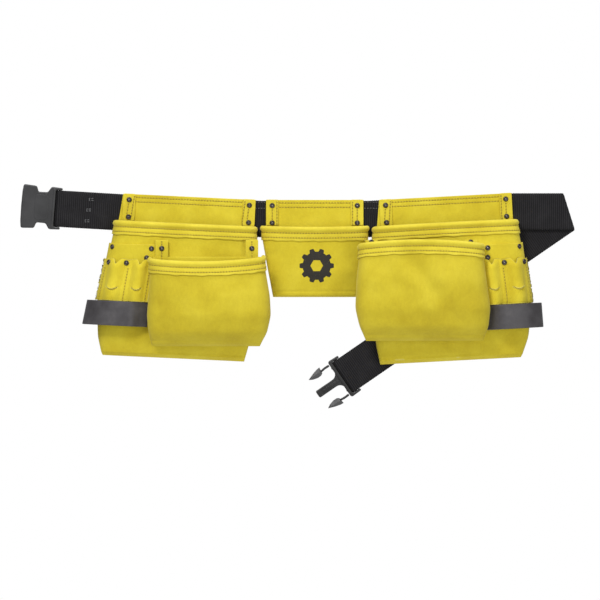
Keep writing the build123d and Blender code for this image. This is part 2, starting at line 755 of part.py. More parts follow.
# ---------------------------------------------------------------- buckle plug
frame_half = slot_half + buckle_rail
base_line = slot_reach + frame_lip
frame_back = base_line - plug_frame_length
barb_outer = frame_half + barb_proud
tongue_thick = plug_thick * tongue_share
with BuildPart() as plug_frame:
    with BuildSketch(plug_plane.offset(-plug_thick / 2)):
        with BuildLine():
            Polyline(
                (frame_back, frame_half),
                (base_line - frame_chamfer, frame_half),
                (base_line, frame_half - frame_chamfer),
                (base_line, -frame_half + frame_chamfer),
                (base_line - frame_chamfer, -frame_half),
                (frame_back, -frame_half),
                close=True,
            )
        make_face()
        with Locations(((frame_back - slot_past_bar + slot_reach) / 2, 0)):
            Rectangle(slot_reach - frame_back + slot_past_bar, 2 * slot_half, mode=Mode.SUBTRACT)
    extrude(amount=plug_thick)
    fillet(plug_frame.edges().filter_by(Axis.Y), frame_round)
    with BuildSketch(plug_plane.offset(-tongue_thick / 2)):
        with BuildLine():
            half_guide = guide_width / 2
            root = half_guide + flare_width
            end = base_line + guide_length
            right_side = Polyline((base_line - guide_root, root), (base_line + flare_start, root))
            flare = ThreePointArc(right_side @ 1, (base_line + flare_waist, half_guide + flare_waist),
                                  (base_line + flare_length, half_guide))
            tip = Polyline(flare @ 1, (end - guide_tip[0], half_guide),
                           (end, half_guide - guide_tip[1]),
                           (end, -half_guide + guide_tip[1]),
                           (end - guide_tip[0], -half_guide),
                           (base_line + flare_length, -half_guide))
            other = ThreePointArc(tip @ 1, (base_line + flare_waist, -half_guide - flare_waist),
                                  (base_line + flare_start, -root))
            Polyline(other @ 1, (base_line - guide_root, -root), right_side @ 0)
        make_face()
    extrude(amount=tongue_thick)
    with BuildSketch(Plane(origin=plug_plane.origin - plug_plane.y_dir * bar_half,
                           x_dir=plug_plane.x_dir, z_dir=plug_plane.y_dir)):
        Circle(bar_radius)
    extrude(amount=2 * bar_half)
save(plug_frame.part, "plug_frame")


def latch_arm(hand):
    """Springy arm with a barbed head; hand is -1 above the guide and +1 below it."""
    reaches = (arm_joint_gap, arm_reach / 2, arm_reach + stem_lap)
    with BuildPart() as arm:
        with BuildSketch(plug_plane.offset(-tongue_thick / 2)):
            with BuildLine():
                Spline(*[(base_line + reach, hand * (frame_half - inset))
                         for reach, inset in zip(reaches, stem_setbacks)])
            trace(line_width=arm_width)
            with BuildLine():
                Polyline(*[(base_line + reach, hand * (barb_outer - inset)) for reach, inset in barb_shape],
                         close=True)
            make_face()
        extrude(amount=tongue_thick)
    return arm.part


save(latch_arm(-1), "latch_arm_upper")
save(latch_arm(1), "latch_arm_lower")
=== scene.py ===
import json
import math

import bmesh
import bpy
import numpy as np
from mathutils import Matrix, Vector


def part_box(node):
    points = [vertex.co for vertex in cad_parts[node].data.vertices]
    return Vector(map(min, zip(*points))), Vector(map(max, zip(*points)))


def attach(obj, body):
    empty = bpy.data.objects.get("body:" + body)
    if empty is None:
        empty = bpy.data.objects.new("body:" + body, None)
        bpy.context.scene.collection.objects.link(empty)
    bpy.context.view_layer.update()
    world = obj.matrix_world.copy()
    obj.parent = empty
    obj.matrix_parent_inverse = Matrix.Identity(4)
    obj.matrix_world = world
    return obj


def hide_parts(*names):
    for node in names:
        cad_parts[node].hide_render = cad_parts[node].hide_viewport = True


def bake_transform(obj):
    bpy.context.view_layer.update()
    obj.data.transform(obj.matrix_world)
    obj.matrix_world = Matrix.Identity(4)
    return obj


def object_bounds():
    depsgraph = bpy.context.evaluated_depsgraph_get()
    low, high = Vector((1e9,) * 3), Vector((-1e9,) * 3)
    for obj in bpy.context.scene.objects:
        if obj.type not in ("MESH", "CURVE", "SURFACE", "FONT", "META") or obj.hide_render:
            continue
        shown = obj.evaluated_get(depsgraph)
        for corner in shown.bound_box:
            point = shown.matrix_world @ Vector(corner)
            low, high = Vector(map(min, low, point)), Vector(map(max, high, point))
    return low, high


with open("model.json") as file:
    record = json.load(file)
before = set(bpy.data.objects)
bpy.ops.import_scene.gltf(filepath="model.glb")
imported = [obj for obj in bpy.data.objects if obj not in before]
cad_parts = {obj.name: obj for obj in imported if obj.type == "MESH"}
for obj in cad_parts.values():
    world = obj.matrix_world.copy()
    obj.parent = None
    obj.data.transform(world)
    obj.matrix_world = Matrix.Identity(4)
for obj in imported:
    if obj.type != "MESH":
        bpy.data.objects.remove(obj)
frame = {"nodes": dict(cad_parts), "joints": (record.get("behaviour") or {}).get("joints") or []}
cad_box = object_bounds()

MM = 0.001
FRONT = np.array([0.0, -1.0, 0.0])

# ---------------------------------------------------------------- sizes of the visible detail
LEATHER = 1.6
SLEEVE_LEATHER = 1.3
LOOP_LEATHER = 2.0
CUT_EDGE = 0.35            # rounding of a cut suede edge
GRID = 0.9                 # spacing of a small patch's vertices
STITCH_PITCH = 2.9
STITCH_LENGTH = 1.75
THREAD_RADIUS = 0.36
NEEDLE_HOLE = 0.72         # radius
SEAM_DEPTH = 0.45          # how far a row of stitches pulls the suede in
SEAM_WIDTH = 0.75
TOP_SEAMS = (3.2, 7.8)     # rows of stitches below a belt panel's top edge
RIM_ROWS = (6.4, 11.3)     # and below a pocket's mouth
STRIP_WIDTH = 13.0         # side strips and riveted tabs
WEB_RIB = 2.1              # pitch of the webbing's ribs
WEB_RIB_HEIGHT = 0.13


# ---------------------------------------------------------------- materials
def new_material(name):
    material = bpy.data.materials.new(name)
    material.use_nodes = True
    return material, material.node_tree, material.node_tree.nodes["Principled BSDF"]


def surface(name):
    """A new material, its nodes, its shader and the place on the object."""
    material, tree, shader = new_material(name)
    return material, tree, shader, tree.nodes.new("ShaderNodeTexCoord").outputs["Object"]


def add(tree, kind, settings=None, **inputs):
    """New shader node, with its settings and the defaults of its inputs."""
    node = tree.nodes.new(kind)
    for key, value in (settings or {}).items():
        setattr(node, key, value)
    for key, value in inputs.items():
        node.inputs[key.replace("_", " ")].default_value = value
    return node


def noise_at(tree, place, scale, detail=3.0, roughness=0.55):
    node = add(tree, "ShaderNodeTexNoise", Scale=scale, Detail=detail, Roughness=roughness)
    tree.links.new(place, node.inputs["Vector"])
    return node.outputs["Fac"]


def shade(tree, value, stops):
    """Colour ramp over a value."""
    ramp = tree.nodes.new("ShaderNodeValToRGB")
    elements = ramp.color_ramp.elements
    while len(elements) < len(stops):
        elements.new(0.5)
    for element, (position, colour) in zip(elements, stops):
        element.position = position
        element.color = (*colour, 1.0)
    tree.links.new(value, ramp.inputs["Fac"])
    return ramp.outputs["Color"]


def blend_colour(tree, kind, amount, first, second):
    node = tree.nodes.new("ShaderNodeMix")
    node.data_type = "RGBA"
    node.blend_type = kind
    if isinstance(amount, float):
        node.inputs[0].default_value = amount
    else:
        tree.links.new(amount, node.inputs[0])
    for socket, colour in ((node.inputs[6], first), (node.inputs[7], second)):
        if isinstance(colour, tuple):
            socket.default_value = (*colour, 1.0)
        else:
            tree.links.new(colour, socket)
    return node.outputs[2]


def ramp_value(tree, value, low, high, start=0.0, end=1.0):
    node = add(tree, "ShaderNodeMapRange")
    for name, number in (("From Min", low), ("From Max", high), ("To Min", start), ("To Max", end)):
        node.inputs[name].default_value = number
    tree.links.new(value, node.inputs["Value"])
    return node.outputs["Result"]


def wear_and_painted_light(tree, colour, start, end, amount, tint):
    """Tint the edges that stick out (wear on leather and metal, a painted highlight on plastic) or, where start is
    above end, darken the hollows with painted shade.
    """
    pointiness = tree.nodes.new("ShaderNodeNewGeometry").outputs["Pointiness"]
    return blend_colour(tree, "MIX", ramp_value(tree, pointiness, start, end, 0.0, amount), colour, tint)


def greys(dark, dark_value, light, light_value):
    """Stops of a ramp between two greys."""
    return [(dark, (dark_value,) * 3), (light, (light_value,) * 3)]


def bump(tree, height, strength, distance, below=None):
    node = add(tree, "ShaderNodeBump", Strength=strength, Distance=distance)
    tree.links.new(height, node.inputs["Height"])
    if below is not None:
        tree.links.new(below, node.inputs["Normal"])
    return node.outputs["Normal"]


def suede_material(name, light, middle, deep, nap):
    """Split suede: blotchy dye, a short brushed nap, paler rubbed edges and hollows darkened with painted shade.
    """
    material, tree, shader, place = surface(name)
    blotches = noise_at(tree, place, 28.0, 4.0, 0.55)
    colour = shade(tree, blotches, [(0.30, deep), (0.50, middle), (0.72, light)])
    brushed = add(tree, "ShaderNodeMapping")
    brushed.inputs["Rotation"].default_value = (0.0, 0.5, 0.0)
    brushed.inputs["Scale"].default_value = (1.0, 1.0, 0.42)
    tree.links.new(place, brushed.inputs["Vector"])
    streaks = noise_at(tree, brushed.outputs["Vector"], 420.0, 4.0, 0.62)
    colour = blend_colour(tree, "SOFT_LIGHT", 0.15, colour,
                          shade(tree, streaks, greys(0.30, 0.22, 0.70, 0.80)))
    fibres = noise_at(tree, place, 1900.0, 3.0, 0.7)
    colour = blend_colour(tree, "SOFT_LIGHT", 0.20, colour,
                          shade(tree, fibres, greys(0.30, 0.20, 0.70, 0.82)))
    colour = wear_and_painted_light(tree, colour, 0.53, 0.66, 0.42, (0.80, 0.73, 0.24))
    # painted shade: hollows found by pointiness are mixed towards a deep brown
    colour = wear_and_painted_light(tree, colour, 0.485, 0.42, 0.75, (0.30, 0.18, 0.006))
    tree.links.new(colour, shader.inputs["Base Color"])
    tree.links.new(ramp_value(tree, streaks, 0.2, 0.8, 0.78, 0.96), shader.inputs["Roughness"])
    shader.inputs["Specular IOR Level"].default_value = 0.22
    shader.inputs["Sheen Weight"].default_value = nap
    shader.inputs["Sheen Roughness"].default_value = 0.55
    shader.inputs["Sheen Tint"].default_value = (1.0, 0.90, 0.34, 1.0)
    soft = bump(tree, noise_at(tree, place, 130.0, 3.0), 0.35, 0.0011)
    brushed_normal = bump(tree, streaks, 0.30, 0.00045, soft)
    tree.links.new(bump(tree, fibres, 0.42, 0.00022, brushed_normal), shader.inputs["Normal"])
    return material


def loop_material():
    """Smooth dark grey leather with fine pores and a few dull scuffs."""
    material, tree, shader, place = surface("loop_leather")
    scuffs = noise_at(tree, place, 60.0, 5.0, 0.6)
    colour = shade(tree, scuffs, [(0.32, (0.040, 0.036, 0.039)), (0.55, (0.060, 0.056, 0.060)),
                                  (0.78, (0.095, 0.088, 0.091))])
    colour = wear_and_painted_light(tree, colour, 0.53, 0.62, 0.5, (0.15, 0.14, 0.14))
    tree.links.new(colour, shader.inputs["Base Color"])
    tree.links.new(ramp_value(tree, scuffs, 0.3, 0.8, 0.44, 0.62), shader.inputs["Roughness"])
    cells = add(tree, "ShaderNodeTexVoronoi", Scale=900.0)
    tree.links.new(place, cells.inputs["Vector"])
    pores = bump(tree, cells.outputs["Distance"], 0.30, 0.00016)
    tree.links.new(bump(tree, noise_at(tree, place, 300.0, 3.0), 0.22, 0.0003, pores),
                   shader.inputs["Normal"])
    return material


def webbing_material():
    """Black woven webbing: yarns along and across, rib crests painted paler as a highlight, and faint dust."""
    material, tree, shader = new_material("webbing")
    place = tree.nodes.new("ShaderNodeTexCoord").outputs["UV"]
    yarns = add(tree, "ShaderNodeTexWave", {"bands_direction": "Y"}, Scale=0.24, Distortion=0.25)
    tree.links.new(place, yarns.inputs["Vector"])
    ribs = add(tree, "ShaderNodeTexWave", {"bands_direction": "X"}, Scale=2 * math.pi / (20 * WEB_RIB),
               Phase_Offset=math.pi)
    tree.links.new(place, ribs.inputs["Vector"])
    fuzz = noise_at(tree, place, 1.6, 3.0, 0.7)
    weave = tree.nodes.new("ShaderNodeMath")
    weave.operation = "MULTIPLY"
    tree.links.new(yarns.outputs["Fac"], weave.inputs[0])
    tree.links.new(ribs.outputs["Fac"], weave.inputs[1])
    dusty = noise_at(tree, place, 0.05, 4.0, 0.6)
    colour = shade(tree, fuzz, [(0.30, (0.0035, 0.0033, 0.0038)), (0.55, (0.0065, 0.006, 0.007)),
                                (0.78, (0.015, 0.0145, 0.016))])
    # painted highlight: a paler grey is added on each rib's crest
    colour = blend_colour(tree, "ADD", 1.0, colour,
                          shade(tree, ribs.outputs["Fac"], [(0.35, (0.0, 0.0, 0.0)),
                                                            (1.0, (0.014, 0.0135, 0.015))]))
    colour = blend_colour(tree, "ADD", 1.0, colour,
                          shade(tree, dusty, [(0.45, (0.0, 0.0, 0.0)), (0.8, (0.007, 0.0068, 0.0072))]))
    tree.links.new(colour, shader.inputs["Base Color"])
    shader.inputs["Roughness"].default_value = 0.74
    shader.inputs["Specular IOR Level"].default_value = 0.18
    shader.inputs["Sheen Weight"].default_value = 0.05
    shader.inputs["Sheen Roughness"].default_value = 0.4
    woven = bump(tree, weave.outputs[0], 0.55, 0.00022)
    tree.links.new(bump(tree, fuzz, 0.30, 0.00012, woven), shader.inputs["Normal"])
    return material


def plastic_material(name, dark, light):
    """Satin moulded plastic: fine moulding texture, faint flow marks, edges painted a little paler as a highlight.
    """
    material, tree, shader, place = surface(name)
    flow = noise_at(tree, place, 45.0, 3.0, 0.5)
    colour = shade(tree, flow, [(0.3, (dark, dark, dark * 1.05)), (0.7, (light, light, light * 1.05))])
    # painted highlight: the edges that stick out are mixed towards a paler grey
    colour = wear_and_painted_light(tree, colour, 0.53, 0.64, 0.45, (0.12, 0.12, 0.125))
    tree.links.new(colour, shader.inputs["Base Color"])
    tree.links.new(ramp_value(tree, flow, 0.3, 0.7, 0.38, 0.50), shader.inputs["Roughness"])
    grain = bump(tree, noise_at(tree, place, 2600.0, 2.0), 0.20, 0.00008)
    tree.links.new(bump(tree, flow, 0.12, 0.0006, grain), shader.inputs["Normal"])
    return material


def metal_material(name, dark, bright, roughness):
    """Blackened metal with rubbed high spots."""
    material, tree, shader, place = surface(name)
    patina = noise_at(tree, place, 700.0, 4.0, 0.6)
    colour = shade(tree, patina, [(0.35, dark), (0.75, bright)])
    colour = wear_and_painted_light(tree, colour, 0.54, 0.66, 0.7, bright)
    tree.links.new(colour, shader.inputs["Base Color"])
    shader.inputs["Metallic"].default_value = 0.85
    tree.links.new(ramp_value(tree, patina, 0.3, 0.8, roughness, roughness + 0.2),
                   shader.inputs["Roughness"])
    tree.links.new(bump(tree, patina, 0.25, 0.00008), shader.inputs["Normal"])
    return material


def thread_material(name, dark, light):
    """Waxed thread: tight twist lines and a soft shine."""
    material, tree, shader, place = surface(name)
    twist = add(tree, "ShaderNodeTexWave", {"bands_direction": "DIAGONAL"}, Scale=900.0, Distortion=1.0)
    tree.links.new(place, twist.inputs["Vector"])
    tree.links.new(shade(tree, twist.outputs["Fac"], [(0.2, dark), (0.8, light)]),
                   shader.inputs["Base Color"])
    shader.inputs["Roughness"].default_value = 0.6
    tree.links.new(bump(tree, twist.outputs["Fac"], 0.4, 0.0001), shader.inputs["Normal"])
    return material


def ink_material():
    """Dark print on suede: the nap shows through as small gaps."""
    material, tree, shader, place = surface("printed_ink")
    gaps = noise_at(tree, place, 1500.0, 4.0, 0.7)
    tree.links.new(shade(tree, gaps, [(0.42, (0.016, 0.014, 0.012)), (0.66, (0.034, 0.029, 0.018)),
                                      (0.74, (0.30, 0.24, 0.03))]), shader.inputs["Base Color"])
    shader.inputs["Roughness"].default_value = 0.8
    tree.links.new(bump(tree, gaps, 0.3, 0.0002), shader.inputs["Normal"])
    return material


SUEDE = suede_material("suede", (0.73, 0.61, 0.042), (0.66, 0.535, 0.028), (0.585, 0.455, 0.019), 0.26)
# a lighter copy of the suede, painted light, for the top-lit rims, side strips and tabs
SUEDE_PAINTED_LIGHTER = suede_material("suede_painted_lighter", (0.76, 0.64, 0.052), (0.69, 0.565, 0.036),
                           (0.60, 0.475, 0.022), 0.30)
# a darker copy of the suede, painted shade, for the fronts of the front pockets
SUEDE_PAINTED_DARKER = suede_material("suede_painted_darker", (0.64, 0.525, 0.034), (0.575, 0.46, 0.023),
                              (0.50, 0.385, 0.016), 0.26)
LOOP = loop_material()
WEBBING = webbing_material()
PLASTIC = plastic_material("buckle_plastic", 0.026, 0.040)
PLUG_PLASTIC = plastic_material("plug_plastic", 0.010, 0.017)
RIVET = metal_material("rivet_cap", (0.022, 0.018, 0.016), (0.16, 0.14, 0.13), 0.30)
# a paler metal for the middle of each cap: a painted highlight
RIVET_HIGHLIGHT = metal_material("rivet_painted_highlight", (0.10, 0.09, 0.085), (0.42, 0.40, 0.38), 0.22)
THREAD = thread_material("yellow_thread", (0.42, 0.32, 0.02), (0.66, 0.54, 0.06))
BLACK_THREAD = thread_material("black_thread", (0.060, 0.060, 0.063), (0.19, 0.19, 0.20))
# painted shade: a dark brown for the discs that stand for the needle holes
NEEDLE_HOLE_SHADE = thread_material("painted_needle_hole_shade", (0.30, 0.21, 0.010), (0.40, 0.29, 0.016))
INK = ink_material()


# ---------------------------------------------------------------- meshes
def new_object(name, vertices, faces, *materials):
    mesh = bpy.data.meshes.new(name)
    mesh.from_pydata((np.asarray(vertices, float) * MM).tolist(), [], faces)
    for material in materials:
        mesh.materials.append(material)
    mesh.polygons.foreach_set("use_smooth", [True] * len(mesh.polygons))
    mesh.update()
    obj = bpy.data.objects.new(name, mesh)
    bpy.context.scene.collection.objects.link(obj)
    return obj


def grid_faces(rows, columns, ring=False):
    """Quads of a grid; a ring closes its last row on its first."""
    faces = []
    for row in range(rows if ring else rows - 1):
        below = (row + 1) % rows
        for column in range(columns - 1):
            faces.append((row * columns + column, row * columns + column + 1,
                          below * columns + column + 1, below * columns + column))
    return faces


def thicken(obj, thickness, offset):
    """Give a sheet its thickness: offset -1 goes inward, and 0 goes both ways."""
    wall = obj.modifiers.new("thickness", "SOLIDIFY")
    wall.thickness = thickness * MM
    wall.offset = offset
    wall.use_even_offset = False
    return apply_modifiers(obj)


def flip_to(obj, direction):
    """Turn a sheet's faces so that they look the given way on the whole."""
    total = Vector((0.0, 0.0, 0.0))
    for polygon in obj.data.polygons:
        total += polygon.normal * polygon.area
    if total.dot(Vector(direction)) < 0:
        obj.data.flip_normals()


def face_outward(obj):
    """Make a closed mesh's faces look outward."""
    work = bmesh.new()
    work.from_mesh(obj.data)
    bmesh.ops.recalc_face_normals(work, faces=work.faces)
    work.to_mesh(obj.data)
    work.free()


def apply_modifiers(obj):
    settled = obj.evaluated_get(bpy.context.evaluated_depsgraph_get())
    mesh = bpy.data.meshes.new_from_object(settled)
    obj.modifiers.clear()
    obj.data = mesh
    return obj


def soften(obj, width, segments=2, angle=40.0):
    """Round the sharp edges of a mesh."""
    rounding = obj.modifiers.new("rounding", "BEVEL")
    rounding.width = width * MM
    rounding.segments = segments
    rounding.limit_method = "ANGLE"
    rounding.angle_limit = math.radians(angle)
    return apply_modifiers(obj)


def sheet(name, grid, thickness, material, edge=CUT_EDGE):
    """Sheet of leather: its outer face is the grid, and its thickness goes inward."""
    rows, columns = grid.shape[:2]
    obj = new_object(name, grid.reshape(-1, 3), grid_faces(rows, columns), material)
    flip_to(obj, FRONT)
    thicken(obj, thickness, -1.0)
    return soften(obj, edge)


def place_piece(obj, body, slot, *nodes):
    """Let a piece ride its body in place of its CAD nodes; the slot argument is not used."""
    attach(obj, body)
    if nodes:
        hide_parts(*nodes)
    return obj


def joined(name, parts):
    """One object out of several."""
    with bpy.context.temp_override(active_object=parts[0], selected_editable_objects=parts):
        bpy.ops.object.join()
    parts[0].name = name
    return parts[0]


# ---------------------------------------------------------------- reading the frame
def points_of(node):
    mesh = frame["nodes"][node].data
    flat = np.zeros(len(mesh.vertices) * 3)
    mesh.vertices.foreach_get("co", flat)
    return flat.reshape(-1, 3) / MM


def edges_of(node):
    mesh = frame["nodes"][node].data
    flat = np.zeros(len(mesh.edges) * 2, int)
    mesh.edges.foreach_get("vertices", flat)
    return flat.reshape(-1, 2)


class Hang:
    """The plane a bag hangs on: across runs outward along its top, drop runs down, forward to the front."""

    def __init__(self, origin, out):
        self.origin = np.array([origin[0], 0.0, origin[1]])
        self.out = np.array([out[0], 0.0, out[1]])
        turn = 1.0 if out[0] > 0 else -1.0
        self.down = np.array([turn * out[1], 0.0, -turn * out[0]])

    def local(self, points):
        offset = points - self.origin
        return offset @ self.out, offset @ self.down, -points[:, 1]

    def world(self, across, drop, forward):
        across, drop, forward = np.broadcast_arrays(across, drop, forward)
        return (self.origin + across[..., None] * self.out + drop[..., None] * self.down
                + forward[..., None] * FRONT)


def panel_hang(node):
    """Hang of a belt panel, from the two ends of its top edge."""
    corners = sorted({(round(z, 2), round(x, 2)) for x, _, z in points_of(node)})[-2:]
    inner, outer = sorted(corners, key=lambda corner: abs(corner[1]))
    if abs(abs(inner[1]) - abs(outer[1])) < 1.0:
        inner, outer = sorted(corners, key=lambda corner: corner[1])
    run = np.array([outer[1] - inner[1], outer[0] - inner[0]])
    width = float(np.hypot(*run))
    return Hang((inner[1], inner[0]), run / width), width


def unevenness(seed, size, height, count=9):
    """Smooth seeded unevenness: a sum of waves about `size` long and `height` high."""
    random = np.random.default_rng(seed)
    turns = random.uniform(0, 2 * math.pi, count)
    lengths = size * random.uniform(0.7, 1.7, count)
    phases = random.uniform(0, 2 * math.pi, count)

    def value(across, drop):
        total = 0.0
        for turn, length, phase in zip(turns, lengths, phases):
            along = across * math.cos(turn) + drop * math.sin(turn)
            total = total + np.sin(2 * math.pi * along / length + phase)
        return height * total / math.sqrt(count)

    return value


def fold_along(start, end, width, height):
    """A soft fold, or a dent where height is negative, along a line on a bag."""
    (start_across, start_drop), (end_across, end_drop) = start, end
    run = np.array([end_across - start_across, end_drop - start_drop])
    length = float(np.hypot(*run))
    unit = run / length

    def value(across, drop):
        along = (across - start_across) * unit[0] + (drop - start_drop) * unit[1]
        aside = (across - start_across) * unit[1] - (drop - start_drop) * unit[0]
        past = np.maximum(np.maximum(-along, along - length), 0.0)
        return height * np.exp(-(aside / width) ** 2 - (past / (1.6 * width)) ** 2)

    return value


class Skin:
    """The outer skin of a suede piece, read from its CAD piece and softened.

    A place on it is a share (0 at the inner side, 1 at the outer side), a drop and a lift off it.
    """

    levels_count = 40
    columns_count = 97

    def __init__(self, node, hang, folds=(), power=4.0, flat=False, round_bottom=5.0, least=0.0):
        self.hang = hang
        self.folds = folds
        self.flat = flat
        across, drop, forward = hang.local(points_of(node))
        self.top, self.bottom = float(drop.min()), float(drop.max())
        self.base = float(forward.min())
        self.levels = np.linspace(self.top + 0.05, self.bottom - 0.05, self.levels_count)
        edges = edges_of(node)
        first, second = edges[:, 0], edges[:, 1]
        rows = []
        for level in self.levels:
            crossing = (drop[first] - level) * (drop[second] - level) <= 0
            a, b = first[crossing], second[crossing]
            spread = drop[b] - drop[a]
            share = np.where(np.abs(spread) > 1e-9,
                             (level - drop[a]) / np.where(spread == 0, 1, spread), 0.0)
            cut_across = across[a] + (across[b] - across[a]) * share
            cut_forward = forward[a] + (forward[b] - forward[a]) * share
            rows.append((cut_across.min(), cut_across.max(), cut_forward.max()))
        rows = np.array(rows)
        for _ in range(2):
            rows[1:-1] = (rows[:-2] + 2 * rows[1:-1] + rows[2:]) / 4
        rows[:, 2] = np.maximum(rows[:, 2], self.base + least)
        self.low, self.high, self.front = rows.T
        self.table = np.array([self._section(*row, level, power, round_bottom)
                               for row, level in zip(rows, self.levels)])

    def _section(self, low, high, front, level, power, round_bottom):
        shares = np.linspace(0, 1, self.columns_count)
        if self.flat:
            return np.stack([low + (high - low) * shares, np.full_like(shares, front)], 1)
        angle = np.linspace(math.pi, 0, 400)
        cosine, sine = np.cos(angle), np.sin(angle)
        into = max(0.0, (level - (self.bottom - round_bottom)) / round_bottom)
        depth = (front - self.base) * max(0.0, 1 - into ** 3) ** (1 / 3)
        across = (low + high) / 2 + (high - low) / 2 * np.sign(cosine) * np.abs(cosine) ** (2 / power)
        forward = self.base + depth * np.abs(sine) ** (2 / power)
        run = np.concatenate([[0.0], np.cumsum(np.hypot(np.diff(across), np.diff(forward)))])
        return np.stack([np.interp(shares * run[-1], run, across),
                         np.interp(shares * run[-1], run, forward)], 1)

    def plan(self, share, drop):
        """Across, forward and the outward direction of places on the skin."""
        row = (drop - self.levels[0]) / (self.levels[1] - self.levels[0])
        row = np.clip(row, 0, self.levels_count - 1.001)
        column = np.clip(share, 0, 1) * (self.columns_count - 1)
        column = np.clip(column, 0, self.columns_count - 1.001)
        i, j = row.astype(int), column.astype(int)
        u, v = (row - i)[..., None], (column - j)[..., None]
        table = self.table
        left = table[i, j] * (1 - u) + table[i + 1, j] * u
        right = table[i, j + 1] * (1 - u) + table[i + 1, j + 1] * u
        place = left * (1 - v) + right * v
        back, ahead = np.maximum(j - 1, 0), np.minimum(j + 2, self.columns_count - 1)
        slope = ((table[i, ahead] - table[i, back]) * (1 - u)
                 + (table[i + 1, ahead] - table[i + 1, back]) * u)
        slope /= np.maximum(np.linalg.norm(slope, axis=-1, keepdims=True), 1e-9)
        return place[..., 0], place[..., 1], -slope[..., 1], slope[..., 0]

    def at(self, share, drop, lift=0.0):
        """Points in millimetres."""
        share, drop, lift = np.broadcast_arrays(*(np.asarray(v, float) for v in (share, drop, lift)))
        across, forward, out_across, out_forward = self.plan(share, drop)
        sag = sum((fold(across, drop) for fold in self.folds), np.zeros_like(across))
        fade = np.clip(np.minimum(share, 1 - share) / 0.06, 0, 1) if not self.flat else 1.0
        forward = forward + sag * fade + lift * out_forward
        return self.hang.world(across + lift * out_across, drop, forward)

    def normal(self, share, drop):
        share, drop = np.broadcast_arrays(np.asarray(share, float), np.asarray(drop, float))
        _, _, out_across, out_forward = self.plan(share, drop)
        return out_across[..., None] * self.hang.out + out_forward[..., None] * FRONT

    def share(self, across, drop):
        """Share of the places a distance across, one by one."""
        across, drop = np.broadcast_arrays(np.asarray(across, float), np.asarray(drop, float))
        shares = np.linspace(0, 1, self.columns_count)
        found = np.empty(across.shape)
        for index in np.ndindex(across.shape):
            row = np.clip((drop[index] - self.levels[0]) / (self.levels[1] - self.levels[0]),
                          0, self.levels_count - 1.001)
            i = int(row)
            line = self.table[i, :, 0] * (1 - row + i) + self.table[i + 1, :, 0] * (row - i)
            found[index] = np.interp(across[index], line, shares)
        return found


# ---------------------------------------------------------------- stitches and rivets
def copies(name, template, faces, places, frames, *materials):
    """One mesh of many copies of a small template, each in its own place and frame."""
    template = np.asarray(template, float)
    vertices = np.einsum("vk,nkc->nvc", template, frames) + np.asarray(places)[:, None, :]
    count = len(template)
    all_faces = [tuple(index + copy * count for index in face)
                 for copy in range(len(places)) for face in faces]
    return new_object(name, vertices.reshape(-1, 3), all_faces, *materials)


def spun(profile, sides):
    """Vertices and faces of a profile of (radius, height), spun round; the first point is the middle."""
    vertices = [(0.0, 0.0, profile[0][1])]
    for radius, height in profile[1:]:
        for side in range(sides):
            angle = 2 * math.pi * side / sides
            vertices.append((radius * math.cos(angle), radius * math.sin(angle), height))
    faces = [(0, 1 + side, 1 + (side + 1) % sides) for side in range(sides)]
    for ring in range(len(profile) - 2):
        start = 1 + ring * sides
        for side in range(sides):
            follow = (side + 1) % sides
            faces.append((start + side, start + sides + side, start + sides + follow, start + follow))
    return vertices, faces


def thread_template():
    """One stitch: a thread that comes up out of the suede, lies on it and dives back."""
    rings, sides = 7, 6
    vertices = []
    for ring in range(rings):
        share = ring / (rings - 1) * 2 - 1
        height = 0.42 * (1 - share ** 4) - 0.25
        radius = THREAD_RADIUS * (1 - 0.35 * share ** 4)
        for side in range(sides):
            angle = 2 * math.pi * side / sides
            vertices.append((share * STITCH_LENGTH / 2, radius * math.cos(angle),
                             height + radius * math.sin(angle)))
    faces = []
    for ring in range(rings - 1):
        for side in range(sides):
            follow = (side + 1) % sides
            faces.append((ring * sides + side, ring * sides + follow,
                          (ring + 1) * sides + follow, (ring + 1) * sides + side))
    faces.append(tuple(range(sides - 1, -1, -1)))
    faces.append(tuple((rings - 1) * sides + side for side in range(sides)))
    return vertices, faces


class Stitching:
    """Rows of stitches gathered for one body, made as one piece at the end."""

    def __init__(self):
        self.places, self.frames = [], []
        self.holes, self.hole_frames = [], []

    def along(self, points, normals):
        """Stitches at an even pitch along a line of points."""
        run = np.concatenate([[0.0], np.cumsum(np.linalg.norm(np.diff(points, axis=0), axis=1))])
        count = max(1, int(run[-1] / STITCH_PITCH))
        pitch = run[-1] / count
        for index in range(count):
            middle = (index + 0.5) * pitch
            ends = [np.array([np.interp(d, run, points[:, k]) for k in range(3)])
                    for d in (middle - pitch / 2, middle, middle + pitch / 2)]
            up = np.array([np.interp(middle, run, normals[:, k]) for k in range(3)])
            ahead = ends[2] - ends[0]
            ahead /= np.linalg.norm(ahead)
            up -= ahead * up.dot(ahead)
            up /= np.linalg.norm(up)
            axes = np.array([ahead, np.cross(up, ahead), up])
            self.places.append(ends[1])
            self.frames.append(axes)
            self.holes.append(ends[0])
            self.hole_frames.append(axes)
        self.holes.append(ends[2])
        self.hole_frames.append(axes)

    def row(self, skin, shares, drops, lift):
        shares, drops = np.broadcast_arrays(np.asarray(shares, float), np.asarray(drops, float))
        self.along(skin.at(shares, drops, lift), skin.normal(shares, drops))

    def threads(self, name, thread):
        return copies(name, *thread_template(), self.places, self.frames, thread)

    def make(self, name, body):
        """The stitches of suede, with small dark discs between them, painted shade for the needle holes."""
        mark = [(0, 0.24), (NEEDLE_HOLE * 0.6, 0.22), (NEEDLE_HOLE, 0.12), (NEEDLE_HOLE, -0.3)]
        # the needle holes are raised discs in a dark colour: painted shade
        marks = copies(name + "_holes", *spun(mark, 8), self.holes, self.hole_frames, NEEDLE_HOLE_SHADE)
        return place_piece(joined(name, [self.threads(name, THREAD), marks]), body, "suede")


